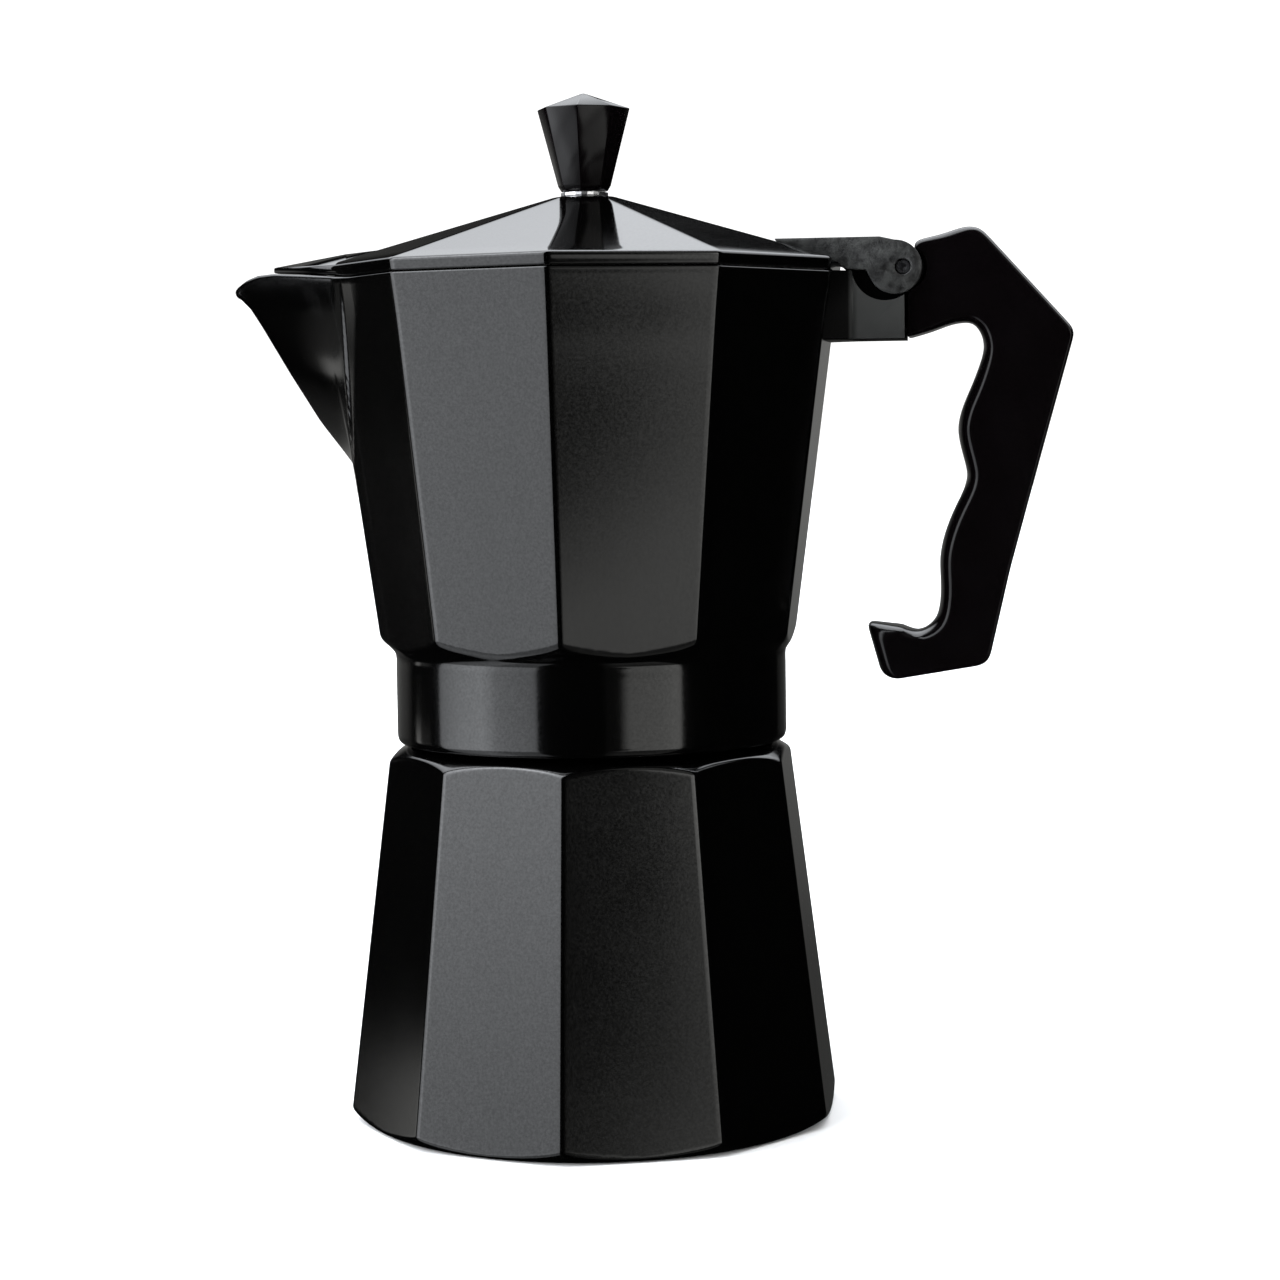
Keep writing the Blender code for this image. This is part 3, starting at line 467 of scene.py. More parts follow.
def make_chamber():
    """Collector with its ring, scalloped sides, spout, rounded rim and inside thread."""
    spout = np.concatenate((np.arange(-33.0, 33.01, 0.5), np.arange(-1.6, 1.61, 0.16),
                            np.arange(16.0, 30.0, 0.25), -np.arange(16.0, 30.0, 0.25)))
    angles = np.concatenate((side_angles(), math.pi + np.radians(spout)))
    angles = np.unique(np.round(angles, 5))

    rows = rounded([(RING_BORE_R, RING_BOTTOM_Z + 1.0, 0), (RING_BORE_R, RING_BOTTOM_Z, 0.3),
                    (RING_R, RING_BOTTOM_Z, 2.1), (RING_R, 88.0, 0)], 8)
    envelope = spline([(RING_R, 90.0), (RING_R, 95.0), (RING_R, 97.4), (41.5, 98.6), (42.4, 99.7),
                       (43.7, 100.9), (44.9, 102.2), (46.2, 104.0), (48.5, 108.0)], 7)
    for radius, z in envelope:
        side = polygon(angles, chamber_apothem(z), 0.5)
        rows.append((soft_min(side, radius, 0.7) if z > 97.0 else radius, z))

    top = rim_meets(chamber_outside, angles)
    for share in np.linspace(0.0, 1.0, 34)[1:]:
        heights = 108.0 + (top - 1.6 - 108.0) * share
        rows.append((at_heights(chamber_outside, angles, heights), heights))
    edge = at_heights(chamber_outside, angles, top)
    near_spout = np.clip((np.cos(angles - math.pi) - 0.82) * 12.0, 0.0, 1.0)
    fillet = 0.5 + 0.7 * near_spout
    start = at_heights(chamber_outside, angles, top - fillet)
    inner_top = rim_meets(chamber_inside, angles)
    inner_edge = at_heights(chamber_inside, angles, inner_top)
    width = edge - inner_edge
    lip = edge - np.minimum(fillet, 0.45 * width)
    lip_z = rim_height(angles, lip)
    for t in np.linspace(0.0, 1.0, 8):
        rows.append((start * (1 - t) ** 2 + edge * 2 * t * (1 - t) + lip * t * t,
                     (top - fillet) * (1 - t) ** 2 + top * 2 * t * (1 - t) + lip_z * t * t))
    inner_lip = inner_edge + np.minimum(0.4, 0.3 * width)
    middle = 0.5 * (lip + inner_lip)
    rows.append((middle, rim_height(angles, middle)))
    below = at_heights(chamber_inside, angles, inner_top - 0.5)
    inner_lip_z = rim_height(angles, inner_lip)
    for t in np.linspace(0.0, 1.0, 5):
        rows.append((inner_lip * (1 - t) ** 2 + inner_edge * 2 * t * (1 - t) + below * t * t,
                     inner_lip_z * (1 - t) ** 2 + inner_top * 2 * t * (1 - t)
                     + (inner_top - 0.5) * t * t))
    for share in np.linspace(0.0, 1.0, 30)[1:]:
        heights = (inner_top - 0.5) * (1 - share) + 103.5 * share
        rows.append((at_heights(chamber_inside, angles, heights), heights))
    for radius, z in bend((chamber_apothem(103.5) - WALL, 103.5), (38.9, CHAMBER_FLOOR_Z),
                          (36.5, CHAMBER_FLOOR_Z), 5)[1:]:
        rows.append((polygon(angles, radius, 1.2), z))
    rows += rounded([(20.0, CHAMBER_FLOOR_Z, 0), (6.4, CHAMBER_FLOOR_Z, 0.2), (6.4, 96.6, 0.3),
                     (25.5, 95.4, 0.6), (27.5, SEAT_Z, 0.2), (37.3, SEAT_Z, 0.2),
                     (37.3, 90.4, 0.3), (RING_BORE_R, 89.4, 0.3), (RING_BORE_R, 89.2, 0)])
    for z in np.arange(89.0, 80.6, -0.3):
        ridge = helix(angles, z, 82.9, 1.25) * (RING_BORE_R - RING_CREST_R)
        rows.append((RING_BORE_R - ridge, z))
    return skin("chamber_casting", angles, rows)


def make_bracket():
    """Block on the chamber's side: it carries the hinge and the handle's tongue."""
    flare = bend((49.0, 16.6), (53.9, 12.6), (56.6, HINGE_HALF), 8)
    plan = [tuple(point) for point in flare]
    plan = [(x, -y) for x, y in plan] + [(67.0, -HINGE_HALF), (67.0, HINGE_HALF)] + plan[::-1]
    block = plate("bracket", plan, 162.6, 176.5)
    cheek = arc((HINGE_X, HINGE_Z), 4.2, -45.0, 170.0, 40) + [(60.5, 176.2), (60.5, 170.0)]
    combine(block, prism("cheek", cheek, -8.5, 8.5), "UNION")
    for side in (-1.0, 1.0):
        low, high = sorted((side * 8.0, side * 12.0))
        combine(block, bar("pocket", 6.9, 63.2, 177.2, low, high, 72), "DIFFERENCE")
        combine(block, bar("swing", 6.0, EAR_X, HINGE_Z, low, high, 72), "DIFFERENCE")
    channel = [(57.0, 165.0), (75.0, 165.0), (75.0, 190.0), (57.0, 190.0)]
    combine(block, prism("channel", channel, -CHANNEL_HALF, CHANNEL_HALF), "DIFFERENCE")
    combine(block, bar("hole", PIN_HOLE_R, HINGE_X, HINGE_Z, -20.0, 20.0, 32), "DIFFERENCE")
    return soften(clean(block), 0.45)


# ==============================================================================================
# lid and knob
# ==============================================================================================

def lid_underside(angles, radius):
    """Height of the lid's lower edge: it lifts to clear the spout's rim."""
    past = np.maximum(-radius * np.cos(angles) - LIFT_FROM_X, 0.0)
    return LID_BOTTOM_Z + past * LIFT_SLOPE


def make_lid():
    """Ten-sided shell with a rounded eave, ridges between its facets and a screw hole."""
    angles = side_angles()
    flat = math.cos(HALF_SIDE)
    eave = RIM_R * flat
    top = LID_TOP_R * flat
    outside = rounded([(eave - 0.25, LID_BOTTOM_Z, 0), (eave + 0.1, LID_EAVE_Z - 0.05, 0.8),
                       (top, LID_TOP_Z, 0.5), (5.2, LID_TOP_Z, 0)], 7)
    slope = [i for i, (radius, _) in enumerate(outside) if radius < eave - 1.0][0]
    start, stop = outside[slope - 1], outside[slope]
    outside[slope:slope] = [start + (stop - start) * t for t in (0.1, 0.25, 0.4, 0.55, 0.7, 0.85)]
    rows = []
    for radius, z in outside:
        ring = polygon(angles, radius, min(0.6, radius * 0.1))
        low = lid_underside(angles, ring) if z < LID_BOTTOM_Z + 0.01 else z
        rows.append((ring, low))
    rows += [(SCREW_HOLE_R, LID_TOP_Z), (SCREW_HOLE_R, LID_TOP_Z - 2.8)]
    inside = rounded([(5.0, LID_TOP_Z - 2.9, 0), (6.3, LID_TOP_Z - 2.9, 0.6),
                      (eave - 3.4, LID_EAVE_Z - 1.4, 0.5), (eave - 2.4, LID_BOTTOM_Z + 0.2, 0)])
    for radius, z in inside:
        rows.append((polygon(angles, radius, min(0.9, radius * 0.1)), z))
    inner = polygon(angles, eave - 2.2, 0.9)
    rows.append((inner, lid_underside(angles, inner)))
    middle = polygon(angles, eave - 0.3, 0.6)
    rows.append((middle, lid_underside(angles, middle)))
    rows[0] = (rows[0][0], rows[0][1] + 0.3)
    return skin("lid_shell", angles, rows)


def beak_underside(x):
    """Height of the beak's lower face above the spout."""
    return LID_BOTTOM_Z + 0.05 + (x - LIFT_FROM_X) * LIFT_SLOPE


def make_beak():
    """The lid's overhang that covers the spout, with a ridge along its middle."""
    points = [(-38.0, 0.0, 183.9), (-51.0, 0.0, 182.6)]
    for side in (-1.0, 1.0):
        points += [
            (-36.0, side * 18.0, 178.0),
            (-45.8, side * 25.6, beak_underside(45.8)),
            (-45.8, side * 25.6, 179.0),
            (-66.7, side * 1.2, beak_underside(66.7)),
            (-66.7, side * 1.2, beak_underside(66.7) + 1.1),
        ]
    data = bmesh.new()
    verts = [data.verts.new(Vector(point) * MM) for point in points]
    result = bmesh.ops.convex_hull(data, input=verts)
    inside = [item for item in result["geom_interior"] if isinstance(item, bmesh.types.BMVert)]
    bmesh.ops.delete(data, geom=inside, context="VERTS")
    bmesh.ops.dissolve_limit(data, angle_limit=math.radians(0.5), verts=data.verts[:],
                             edges=data.edges[:])
    mesh = bpy.data.meshes.new("lid_beak")
    data.to_mesh(mesh)
    data.free()
    return soften(linked("lid_beak", mesh), 0.32, 3, 12.0)


def make_arm():
    """Hinge arm with a flat top and two ears."""
    outline = [(40.5, 183.3), (62.0, 183.3)]
    outline += arc((EAR_X, HINGE_Z), EAR_R, 90.0, -150.0, 48)
    outline += [(59.2, 176.6), (55.0, 176.75), (53.4, 178.2), (46.0, 180.4), (41.2, 182.4)]
    arm = prism("lid_arm", outline, -HINGE_HALF, HINGE_HALF)
    notch = [(58.8, 160.0), (80.0, 160.0), (80.0, 190.0), (58.8, 190.0)]
    combine(arm, prism("notch", notch, -8.3, 8.3), "DIFFERENCE")
    combine(arm, bar("hole", PIN_HOLE_R, HINGE_X, HINGE_Z, -20.0, 20.0, 32), "DIFFERENCE")
    return soften(clean(arm), 0.55)


def octagon(radius, z):
    """Corners of the knob at one height."""
    turns = [2.0 * math.pi * i / KNOB_SIDES for i in range(KNOB_SIDES)]
    return [(radius * math.cos(turn), radius * math.sin(turn), z) for turn in turns]


def make_knob():
    """Eight-sided knob with softened edges and a low pyramid on top."""
    rings = [octagon(4.9, 194.5), octagon(5.6, 195.6), octagon(9.8, 211.6)]
    points = sum(rings, []) + [(0.0, 0.0, 215.0)]
    faces = [tuple(range(KNOB_SIDES))]
    for i in range(KNOB_SIDES):
        j = (i + 1) % KNOB_SIDES
        for low in (0, KNOB_SIDES):
            faces.append((low + i, low + j, low + KNOB_SIDES + j, low + KNOB_SIDES + i))
        faces.append((2 * KNOB_SIDES + i, 2 * KNOB_SIDES + j, 3 * KNOB_SIDES))
    knob = mesh_object("knob_grip", points, faces)
    rim = arc((0.0, 0.0), SCREW_HOLE_R, 0.0, 360.0, 32)[:-1]
    combine(knob, plate("screw_hole", rim, 190.0, 207.0), "DIFFERENCE")
    return soften(clean(knob), 0.3, 3, 10.0)


# ==============================================================================================
# handle
# ==============================================================================================

def handle_outline():
    """Side view of the handle as (x, z, rounding of the edge there)."""
    back = [(69.4, 182.7, 1.0), (74.3, 183.8, 1.3)]
    elbow = [(78.8, 185.2, 1.3), (80.7, 185.3, 1.2), (82.4, 184.8, 1.0), (83.9, 183.4, 0.9)]
    shoulder = [(99.8, 165.8, 0.8), (100.9, 164.5, 0.8), (101.3, 163.2, 0.7), (101.1, 162.0, 0.6)]
    heel = [(94.3, 137.4, 0.6), (88.2, 114.9, 0.6), (84.5, 98.8, 0.6), (84.1, 97.2, 0.6),
            (83.3, 95.9, 0.6), (81.9, 95.1, 0.6)]
    hook = [(64.1, 92.2, 0.9), (61.4, 93.4, 2.3), (58.4, 104.1, 2.5)]
    waves = [
        (65.6, 103.2, 1.2), (69.0, 102.1, 2.0), (72.1, 103.8, 2.4), (73.5, 106.8, 2.4),
        (73.9, 111.5, 2.4), (73.7, 117.1, 2.4), (74.7, 122.2, 2.4), (76.6, 127.1, 2.4),
        (78.6, 131.2, 2.4), (79.5, 134.6, 2.4), (78.5, 138.9, 2.4), (77.6, 143.7, 2.4),
        (78.5, 148.2, 2.4), (80.5, 152.9, 2.4), (82.2, 157.3, 2.2), (83.0, 160.6, 2.0),
        (82.4, 163.6, 1.8), (80.8, 165.6, 1.6), (78.6, 165.9, 1.4), (75.8, 165.4, 1.2),
        (72.1, 164.1, 1.0), (67.6, 162.9, 0.6),
    ]
    front = [(67.35, 163.3, 0.4), (67.35, 172.1, 0.4)]
    front += [(x, z, 0.4) for x, z in arc((HINGE_X, HINGE_Z), 4.6, -70.0, 62.0, 10)]
    outline = back + elbow + shoulder + heel + hook + [tuple(p) for p in spline(waves, 2)] + front
    return np.array(outline)


def inset(outline, share):
    """The outline moved inwards by a share of each point's rounding."""
    places = outline[:, :2]
    ahead = np.roll(places, -1, 0) - places
    ahead /= np.linalg.norm(ahead, axis=1)[:, None]
    normals = np.stack((ahead[:, 1], -ahead[:, 0]), 1)
    before = np.roll(normals, 1, 0)
    mitre = (normals + before) / (1.0 + np.sum(normals * before, axis=1))[:, None]
    return places + mitre * (outline[:, 2] * share)[:, None]


def eased(places, steps=4):
    """A closed outline with every corner eased between the middles of its edges."""
    out = []
    for i, point in enumerate(places):
        ends = []
        for other in (places[i - 1], places[(i + 1) % len(places)]):
            step = other - point
            ends.append(point + step * min(0.49, 1.6 / max(np.hypot(*step), 0.001)))
        out += bend(ends[0], point, ends[1], steps)
    return np.array(out)


def make_handle():
    """Handle with edges rounded by a different amount along its outline."""
    outline = handle_outline()
    rounding = eased(np.stack((outline[:, 2], np.zeros(len(outline))), 1))[:, 0]
    rings = []
    for turn in np.radians((0.0, 15.0, 30.0, 45.0, 60.0, 75.0, 90.0)):
        reach = 2.6 * rounding * (1.0 - math.sin(turn))
        rings.append((1.0 - math.cos(turn), HANDLE_HALF - reach))
    rings.append((1.12, np.full(len(rounding), HANDLE_HALF)))
    levels = [(share, -level) for share, level in reversed(rings)] + rings
    layers = []
    for share, level in levels:
        place = eased(inset(outline, share))
        layers.append(np.stack((place[:, 0], level, place[:, 1]), 1))
    grip = stacked("grip", layers)
    tongue = prism("tongue", [
        (75.0, 165.8), (75.0, 182.0), (69.0, 181.4), (63.6, 180.6), (60.6, 177.6), (58.2, 175.6),
        (57.4, 174.0), (57.4, 165.3), (70.0, 165.3),
    ], -TONGUE_HALF, TONGUE_HALF)
    return merge("handle_grip", grip, soften(tongue, 0.4))


# ==============================================================================================
# materials
# ==============================================================================================

def new_material(name):
    """A new node material: itself, its tree, its shader and its object coordinates."""
    material = bpy.data.materials.new(name)
    material.use_nodes = True
    tree = material.node_tree
    shader = tree.nodes["Principled BSDF"]
    coordinates = tree.nodes.new("ShaderNodeTexCoord")
    return material, tree, shader, coordinates.outputs["Object"]


def noise(tree, vector, scale, detail=3.0, roughness=0.5):
    """A noise texture at a scale in features per metre."""
    node = tree.nodes.new("ShaderNodeTexNoise")
    node.inputs["Scale"].default_value = scale
    node.inputs["Detail"].default_value = detail
    node.inputs["Roughness"].default_value = roughness
    tree.links.new(vector, node.inputs["Vector"])
    return node.outputs["Fac"]


def spread(tree, value, low, high, from_low=0.3, from_high=0.7):
    """Map a texture's middle range to low..high."""
    node = tree.nodes.new("ShaderNodeMapRange")
    node.inputs["From Min"].default_value = from_low
    node.inputs["From Max"].default_value = from_high
    node.inputs["To Min"].default_value = low
    node.inputs["To Max"].default_value = high
    tree.links.new(value, node.inputs["Value"])
    return node.outputs["Result"]


def tint(tree, value, first, second):
    """Mix two colours by a texture."""
    node = tree.nodes.new("ShaderNodeMix")
    node.data_type = "RGBA"
    node.inputs["A"].default_value = (*first, 1.0)
    node.inputs["B"].default_value = (*second, 1.0)
    tree.links.new(value, node.inputs["Factor"])
    return node.outputs["Result"]


def bump(tree, shader, value, distance):
    """Raise the surface by a texture, on top of what is already there."""
    node = tree.nodes.new("ShaderNodeBump")
    node.inputs["Strength"].default_value = 1.0
    node.inputs["Distance"].default_value = distance
    tree.links.new(value, node.inputs["Height"])
    previous = shader.inputs["Normal"]
    if previous.is_linked:
        tree.links.new(previous.links[0].from_socket, node.inputs["Normal"])
    tree.links.new(node.outputs["Normal"], shader.inputs["Normal"])


def product(tree, first, second):
    """Two values multiplied."""
    node = tree.nodes.new("ShaderNodeMath")
    node.operation = "MULTIPLY"
    tree.links.new(first, node.inputs[0])
    tree.links.new(second, node.inputs[1])
    return node.outputs["Value"]


def painted_edge_highlight(tree, value, dark, bright):
    """Lighten the colour a little where the surface bends sharply: a painted highlight along the
    edges, broken up by a texture.
    """
    geometry = tree.nodes.new("ShaderNodeNewGeometry")
    edge = spread(tree, geometry.outputs["Pointiness"], 0.0, 1.0, 0.52, 0.60)
    return tint(tree, product(tree, edge, value), dark, bright)


def enamel(name, colour, roughness, grain_depth):
    """Baked black paint on a casting: satin, with a fine grain in its reflections, and a painted
    highlight on its sharp edges.
    """
    material, tree, shader, place = new_material(name)
    grain = noise(tree, place, 1900.0, 2.0, 0.6)
    blotches = noise(tree, place, 60.0, 3.0)
    # The colour is lightened on sharp edges, scaled by the blotches: a painted highlight.
    colour_out = painted_edge_highlight(tree, blotches, colour, tuple(c * 2.6 + 0.002 for c in colour))
    tree.links.new(colour_out, shader.inputs["Base Color"])
    fine = spread(tree, grain, roughness * 0.8, roughness * 1.2)
    rough = product(tree, fine, spread(tree, blotches, 0.92, 1.08))
    tree.links.new(rough, shader.inputs["Roughness"])
    tree.links.new(spread(tree, grain, 0.42, 0.58), shader.inputs["Specular IOR Level"])
    bump(tree, shader, grain, grain_depth)
    return material


def bracket_enamel_painted_shade():
    """Dull grey on the bracket's outer side faces; near-black with little gloss in its pockets and
    next to the chamber, a painted shade.
    """
    material, tree, shader, place = new_material("bracket_enamel_painted_shade")
    split = tree.nodes.new("ShaderNodeSeparateXYZ")
    tree.links.new(place, split.inputs["Vector"])
    reach = spread(tree, split.outputs["X"], 0.0, 1.0, 0.0555, 0.0575)
    across = tree.nodes.new("ShaderNodeMath")
    across.operation = "ABSOLUTE"
    tree.links.new(split.outputs["Y"], across.inputs[0])
    outer = spread(tree, across.outputs["Value"], 0.0, 1.0, 0.0096, 0.0107)
    faces = product(tree, reach, outer)
    cloud = noise(tree, place, 260.0, 4.0)
    # Where this mask is low, in the pockets and next to the chamber, the colour is a near-black
    # painted shade with little gloss.
    grey = product(tree, faces, spread(tree, cloud, 0.8, 1.0))
    colour = tint(tree, grey, (0.0006, 0.0006, 0.0006), (0.017, 0.018, 0.017))
    tree.links.new(colour, shader.inputs["Base Color"])
    tree.links.new(spread(tree, reach, 0.3, 0.45, 0.0, 1.0), shader.inputs["Roughness"])
    tree.links.new(spread(tree, faces, 0.03, 0.5, 0.0, 1.0), shader.inputs["Specular IOR Level"])
    bump(tree, shader, noise(tree, place, 1900.0, 2.0), 0.000006)
    return material


def rough_casting():
    """The lid's arm: sand-cast skin under thin paint, dull and mottled."""
    material, tree, shader, place = new_material("cast_arm")
    lumps = noise(tree, place, 480.0, 4.0, 0.62)
    fine = noise(tree, place, 2200.0, 2.0)
    mottle = spread(tree, lumps, 0.0, 1.0, 0.38, 0.62)
    colour = tint(tree, mottle, (0.001, 0.001, 0.001), (0.020, 0.021, 0.020))
    tree.links.new(colour, shader.inputs["Base Color"])
    tree.links.new(spread(tree, fine, 0.38, 0.62), shader.inputs["Roughness"])
    bump(tree, shader, lumps, 0.00018)
    bump(tree, shader, fine, 0.00003)
    return material


def plastic(name, gloss, roughness):
    """Moulded black phenolic with faint flow marks."""
    material, tree, shader, place = new_material(name)
    flow = noise(tree, place, 90.0, 4.0, 0.55)
    fine = noise(tree, place, 2600.0, 2.0)
    colour = tint(tree, flow, (0.0008, 0.0005, 0.0006), (0.0014, 0.0009, 0.0012))
    tree.links.new(colour, shader.inputs["Base Color"])
    tree.links.new(spread(tree, flow, roughness * 0.8, roughness * 1.2),
                   shader.inputs["Roughness"])
    shader.inputs["Specular IOR Level"].default_value = gloss
    bump(tree, shader, flow, 0.00006)
    bump(tree, shader, fine, 0.0000015)
    return material


def bare_metal(name, colour, roughness, grain, depth):
    """Bare metal with fine scratches round the axis and cloudy tarnish."""
    material, tree, shader, place = new_material(name)
    scratches = tree.nodes.new("ShaderNodeMapping")
    scratches.inputs["Scale"].default_value = (1.0, 1.0, 14.0)
    tree.links.new(place, scratches.inputs["Vector"])
    lines = noise(tree, scratches.outputs["Vector"], grain, 3.0)
    cloud = noise(tree, place, 120.0, 4.0)
    tree.links.new(tint(tree, cloud, tuple(c * 0.82 for c in colour), colour),
                   shader.inputs["Base Color"])
    shader.inputs["Metallic"].default_value = 1.0
    tree.links.new(spread(tree, cloud, roughness * 0.8, roughness * 1.25),
                   shader.inputs["Roughness"])
    bump(tree, shader, lines, depth)
    return material


def silicone():
    """Off-white silicone: matt, slightly translucent-looking, with dust in its pores."""
    material, tree, shader, place = new_material("silicone")
    cloud = noise(tree, place, 150.0, 4.0)
    fine = noise(tree, place, 1800.0, 2.0)
    tree.links.new(tint(tree, cloud, (0.70, 0.69, 0.64), (0.82, 0.81, 0.77)),
                   shader.inputs["Base Color"])
    tree.links.new(spread(tree, fine, 0.48, 0.66), shader.inputs["Roughness"])
    shader.inputs["Subsurface Weight"].default_value = 0.1
    shader.inputs["Subsurface Radius"].default_value = (0.002, 0.002, 0.0015)
    bump(tree, shader, fine, 0.00001)
    return material


def paper():
    """The studio floor."""
    material, tree, shader, place = new_material("floor")
    shader.inputs["Base Color"].default_value = (0.88, 0.88, 0.88, 1.0)
    tree.links.new(spread(tree, noise(tree, place, 20.0, 3.0), 0.75, 0.85),
                   shader.inputs["Roughness"])
    shader.inputs["Specular IOR Level"].default_value = 0.15
    return material


def paint(obj, material):
    """Give an object one material, in every slot that it has."""
    slots = obj.data.materials
    if not slots:
        slots.append(material)
    for i in range(len(slots)):
        slots[i] = material


# ==============================================================================================
# the pot
# ==============================================================================================

def build_pot():
    """Make the fine pieces, put them on their bodies and dress the CAD nodes that stay."""
    black = enamel("black_enamel", (0.0003, 0.0003, 0.0003), 0.11, 0.0000008)
    glossy = enamel("lid_enamel", (0.0003, 0.0003, 0.0003), 0.07, 0.0000004)
    arm = rough_casting()
    bracket_painted_shade = bracket_enamel_painted_shade()
    knob_plastic = plastic("knob_plastic", 0.16, 0.13)
    handle_plastic = plastic("handle_plastic", 0.26, 0.18)
    aluminium = bare_metal("bare_aluminium", (0.78, 0.78, 0.79), 0.30, 900.0, 0.000004)
    steel = bare_metal("steel", (0.20, 0.20, 0.21), 0.32, 1500.0, 0.000003)
    brass = bare_metal("brass", (0.74, 0.53, 0.22), 0.24, 1500.0, 0.000003)
    rubber = silicone()

    pieces = (
        (make_boiler(), "boiler_unit", "boiler", "enamel", black),
        (make_chamber(), "collector", "upper_chamber", "enamel", black),
        (make_bracket(), "collector", None, "enamel", bracket_painted_shade),
        (make_lid(), "lid_unit", "lid", "enamel", glossy),
        (make_beak(), "lid_unit", None, "enamel", glossy),
        (make_arm(), "lid_unit", None, "enamel", arm),
        (make_knob(), "lid_unit", "knob", "plastic", knob_plastic),
        (make_handle(), "collector", "handle", "plastic", handle_plastic),
    )
    for piece, body, node, slot_name, material in pieces:
        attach(piece, body)
        if node:
            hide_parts(node)
        paint(piece, material)

    finishes = {"aluminium": aluminium, "steel": steel, "brass": brass, "silicone": rubber}
    for part in frame["record"]["subparts"]:
        if part["material_slot"] in finishes:
            paint(frame["nodes"][part["node"]], finishes[part["material_slot"]])


# ==============================================================================================
# studio
# ==============================================================================================

WHITE = 1.25                    # brightness of the surroundings on the floor and on matt faces
DIM = 0.004                     # brightness that glossy faces see where there is no panel
FAR = 12.0                      # distance of the glowing panels
FLOOR_R = 6.0
TOP_GLOW = 6.0
COOL = (0.97, 1.0, 1.04)
WARM = (1.0, 1.0, 0.97)
LENS = 82.85                    # focal length in mm on a 36 mm sensor
CAMERA_PLACE = (0.08652, -0.61681, 0.14567)
CAMERA_RIGHT = (0.99251, 0.12141, -0.01319)
CAMERA_FORWARD = (-0.12206, 0.98984, -0.07290)

# Left panel: brightness by azimuth, and how strong it is by elevation.
LEFT_PROFILE = ((182.5, 1.7), (164.0, 3.2), (149.0, 4.0), (138.0, 2.5), (114.5, 2.0))
LEFT_STRENGTH = ((-58.0, 0.35), (-20.4, 0.35), (-19.0, 0.95), (-8.0, 1.0), (-1.5, 0.85),
                 (5.5, 1.4), (30.0, 1.5), (66.0, 3.0))
# Right panel: brightness by azimuth, then for each elevation where its soft left edge begins and
# ends, and how strong it is.
RIGHT_PROFILE = ((29.0, 1.9), (40.0, 1.5), (50.0, 1.35))
RIGHT_EDGE = (
    (-58.0, 60.0, 75.0, 0.2), (-20.6, 66.0, 73.0, 0.1), (-19.2, 65.5, 71.0, 1.0),
    (-17.0, 61.0, 65.0, 1.0), (-15.0, 59.2, 62.2, 1.0), (-12.6, 58.3, 60.4, 1.0),
    (-11.0, 60.8, 66.0, 1.0), (-4.0, 60.8, 66.0, 1.0), (0.0, 59.0, 62.6, 0.75),
    (3.3, 58.9, 60.9, 1.1), (6.2, 59.2, 60.0, 1.6), (20.0, 59.2, 60.0, 1.4),
    (30.0, 59.2, 60.0, 0.3), (66.0, 59.2, 60.0, 0.3),
)
# Back panel: how bright it is by elevation, the same all along.
BACK_STRENGTH = ((21.0, 0.0), (22.0, 0.85), (24.0, 1.0), (27.0, 1.7), (33.5, 2.3), (66.0, 4.0))
# Rim panel, low behind the pot, for the outermost sides.
RIM_PROFILE = ((-60.0, 0.02), (-77.0, 0.07), (-86.0, 0.16), (-112.0, 0.2), (-139.0, 0.13),
               (-146.0, 0.06), (-150.0, 0.0))
RIM_STRENGTH = ((-18.0, 0.3), (-9.0, 0.4), (-1.0, 1.3), (3.0, 1.3), (9.0, 0.5), (13.0, 0.0))
# Side panel, behind on the left: elevation, brightness of its slot and of its dim part.
SIDE_ROWS = ((-15.0, 0.0, 0.0), (-12.0, 0.07, 0.07), (-9.5, 0.9, 0.13), (-6.5, 0.9, 0.13),
             (-5.5, 0.0, 0.0))


def direction(azimuth, elevation):
    """The unit vector of a direction: azimuth 0 is +X and 90 is towards the camera."""
    turn = math.radians(azimuth)
    rise = math.radians(elevation)
    return Vector((math.cos(rise) * math.cos(turn), -math.cos(rise) * math.sin(turn),
                   math.sin(rise)))


def glowing(name, colour):
    """A light panel's material; its brightness is kept at the panel's points."""
    material = bpy.data.materials.new(name)
    material.use_nodes = True
    tree = material.node_tree
    tree.nodes.clear()
    output = tree.nodes.new("ShaderNodeOutputMaterial")
    emission = tree.nodes.new("ShaderNodeEmission")
    emission.inputs["Color"].default_value = (*colour, 1.0)
    glow = tree.nodes.new("ShaderNodeAttribute")
    glow.attribute_name = "glow"
    tree.links.new(glow.outputs["Fac"], emission.inputs["Strength"])
    tree.links.new(emission.outputs["Emission"], output.inputs["Surface"])
    return material


def panel(name, rows, material):
    """A far panel of rows from below to above, each (elevation, ((azimuth, brightness), ...))."""
    points = []
    glows = []
    for elevation, stops in rows:
        for azimuth, brightness in stops:
            points.append(direction(azimuth, elevation) * FAR)
            glows.append(brightness)
    width = len(rows[0][1])
    faces = []
    for row in range(len(rows) - 1):
        low = row * width
        faces += [(low + i, low + i + 1, low + width + i + 1, low + width + i)
                  for i in range(width - 1)]
    mesh = bpy.data.meshes.new(name)
    mesh.from_pydata(points, [], faces)
    mesh.attributes.new("glow", "FLOAT", "POINT").data.foreach_set("value", glows)
    light = linked(name, mesh)
    light.visible_camera = False
    light.visible_shadow = False
    paint(light, material)


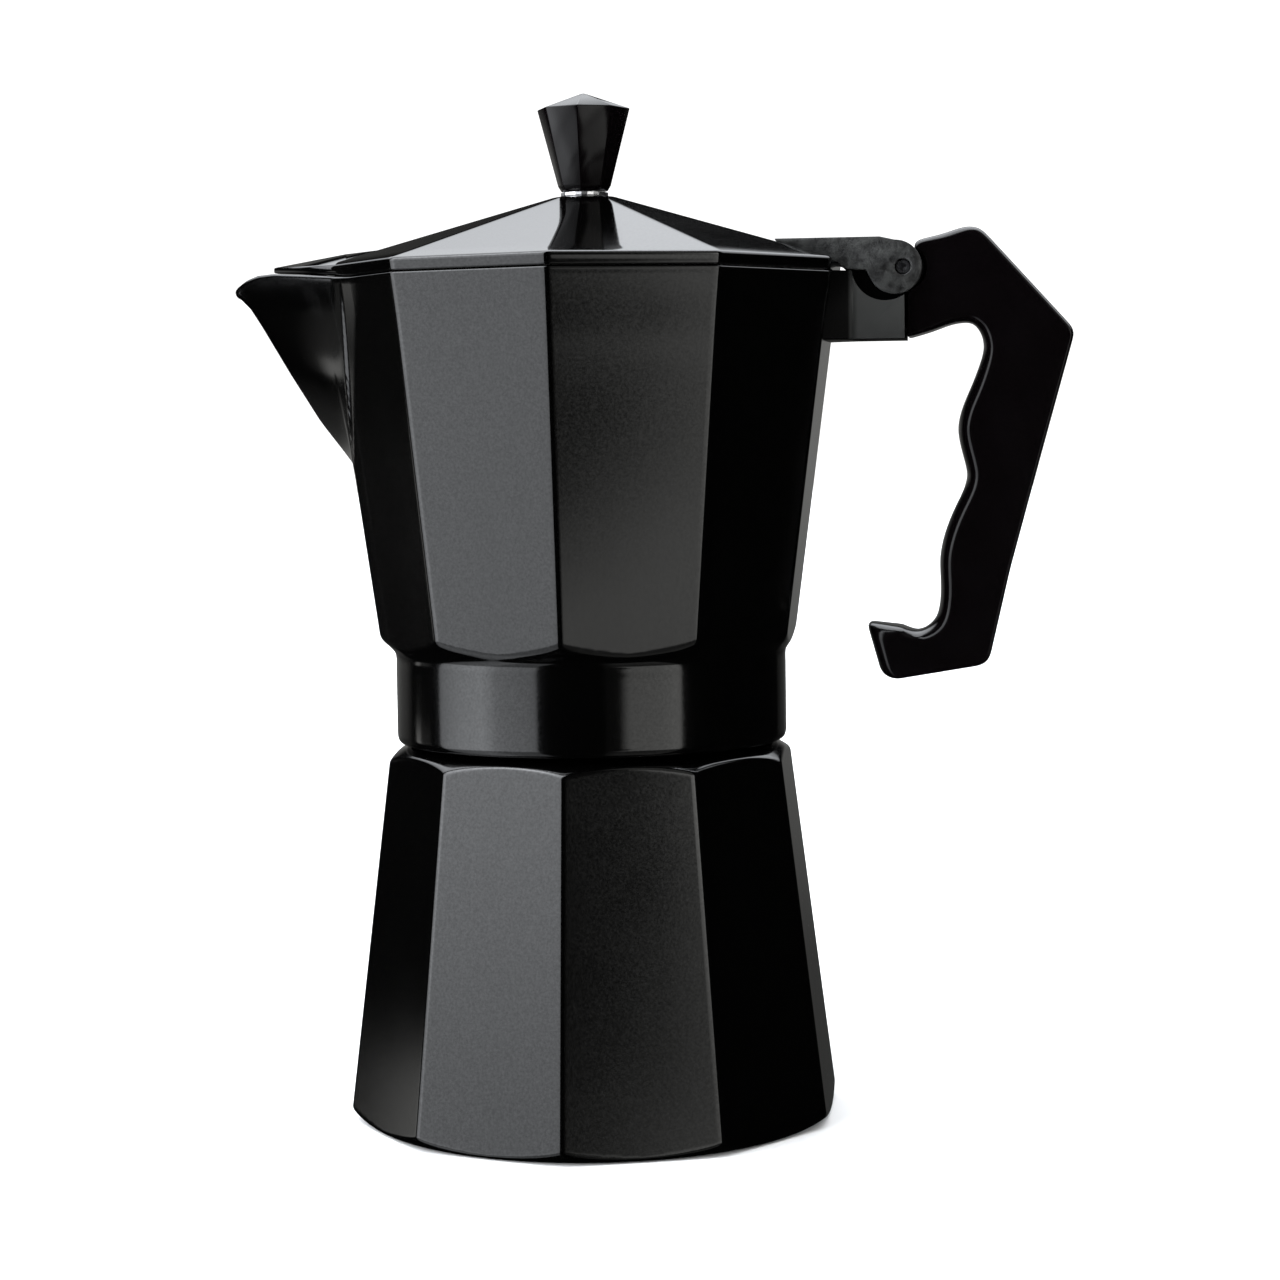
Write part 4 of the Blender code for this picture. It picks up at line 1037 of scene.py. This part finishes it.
def build_floor():
    """A wide pale floor."""
    data = bmesh.new()
    bmesh.ops.create_circle(data, cap_ends=True, segments=96, radius=FLOOR_R)
    mesh = bpy.data.meshes.new("floor")
    data.to_mesh(mesh)
    data.free()
    floor = linked("floor", mesh)
    paint(floor, paper())
    floor.visible_glossy = False
    floor.visible_shadow = False


def background(tree, strength):
    """A white background of one strength."""
    node = tree.nodes.new("ShaderNodeBackground")
    node.inputs["Color"].default_value = (1.0, 1.0, 1.0, 1.0)
    node.inputs["Strength"].default_value = strength
    return node


def build_world():
    """White surroundings, which the pot's gloss doesn't see."""
    bpy.context.scene.view_settings.view_transform = "Standard"
    world = bpy.data.worlds.new("studio")
    bpy.context.scene.world = world
    world.use_nodes = True
    tree = world.node_tree
    tree.nodes.clear()
    output = tree.nodes.new("ShaderNodeOutputWorld")
    path = tree.nodes.new("ShaderNodeLightPath")
    mix = tree.nodes.new("ShaderNodeMixShader")
    tree.links.new(path.outputs["Is Glossy Ray"], mix.inputs["Fac"])
    tree.links.new(background(tree, WHITE).outputs["Background"], mix.inputs[1])
    tree.links.new(background(tree, DIM).outputs["Background"], mix.inputs[2])
    tree.links.new(mix.outputs["Shader"], output.inputs["Surface"])


def scaled(profile, strength):
    """Panel rows whose brightness is a profile by azimuth times a strength by elevation."""
    return [(rise, [(turn, glow * share) for turn, glow in profile]) for rise, share in strength]


def build_lights():
    """Panels to the left and right in front, over and behind the pot."""
    cool = glowing("cool_panel", COOL)
    warm = glowing("warm_panel", WARM)
    panel("left_panel", scaled(LEFT_PROFILE, LEFT_STRENGTH), cool)
    right = []
    for rise, inner, outer, share in RIGHT_EDGE:
        stops = [(turn, glow * share) for turn, glow in RIGHT_PROFILE]
        right.append((rise, [*stops, (inner, 1.3 * share), (outer, 0.04), (74.0, 0.04)]))
    panel("right_panel", right, warm)
    over = [(115.0 + 15.0 * i, TOP_GLOW) for i in range(16)]
    panel("top_panel", [(rise, over) for rise in (67.0, 78.0, 89.0)], cool)
    behind = [(turn, 1.0) for turn in (-165.0, -135.0, -110.0, -90.0, -65.0, -40.0, -15.0)]
    panel("back_panel", scaled(behind, BACK_STRENGTH), cool)
    panel("rim_panel", scaled(RIM_PROFILE, RIM_STRENGTH), warm)
    side = [(rise, ((-152.6, slot), (-157.0, slot), (-158.0, dim), (-168.0, dim)))
            for rise, slot, dim in SIDE_ROWS]
    panel("side_panel", side, warm)


def build_camera():
    """A long lens in front of the pot, a little above the middle of its height."""
    data = bpy.data.cameras.new("camera")
    data.sensor_width = 36.0
    data.lens = LENS
    data.clip_start = 0.01
    data.clip_end = 50.0
    camera = linked("camera", data)
    right = Vector(CAMERA_RIGHT).normalized()
    forward = Vector(CAMERA_FORWARD).normalized()
    up = right.cross(forward).normalized()
    right = forward.cross(up)
    turn = Matrix((right, up, -forward)).transposed().to_4x4()
    camera.matrix_world = Matrix.Translation(CAMERA_PLACE) @ turn
    bpy.context.scene.camera = camera


build_pot()
build_floor()
build_world()
build_lights()
build_camera()
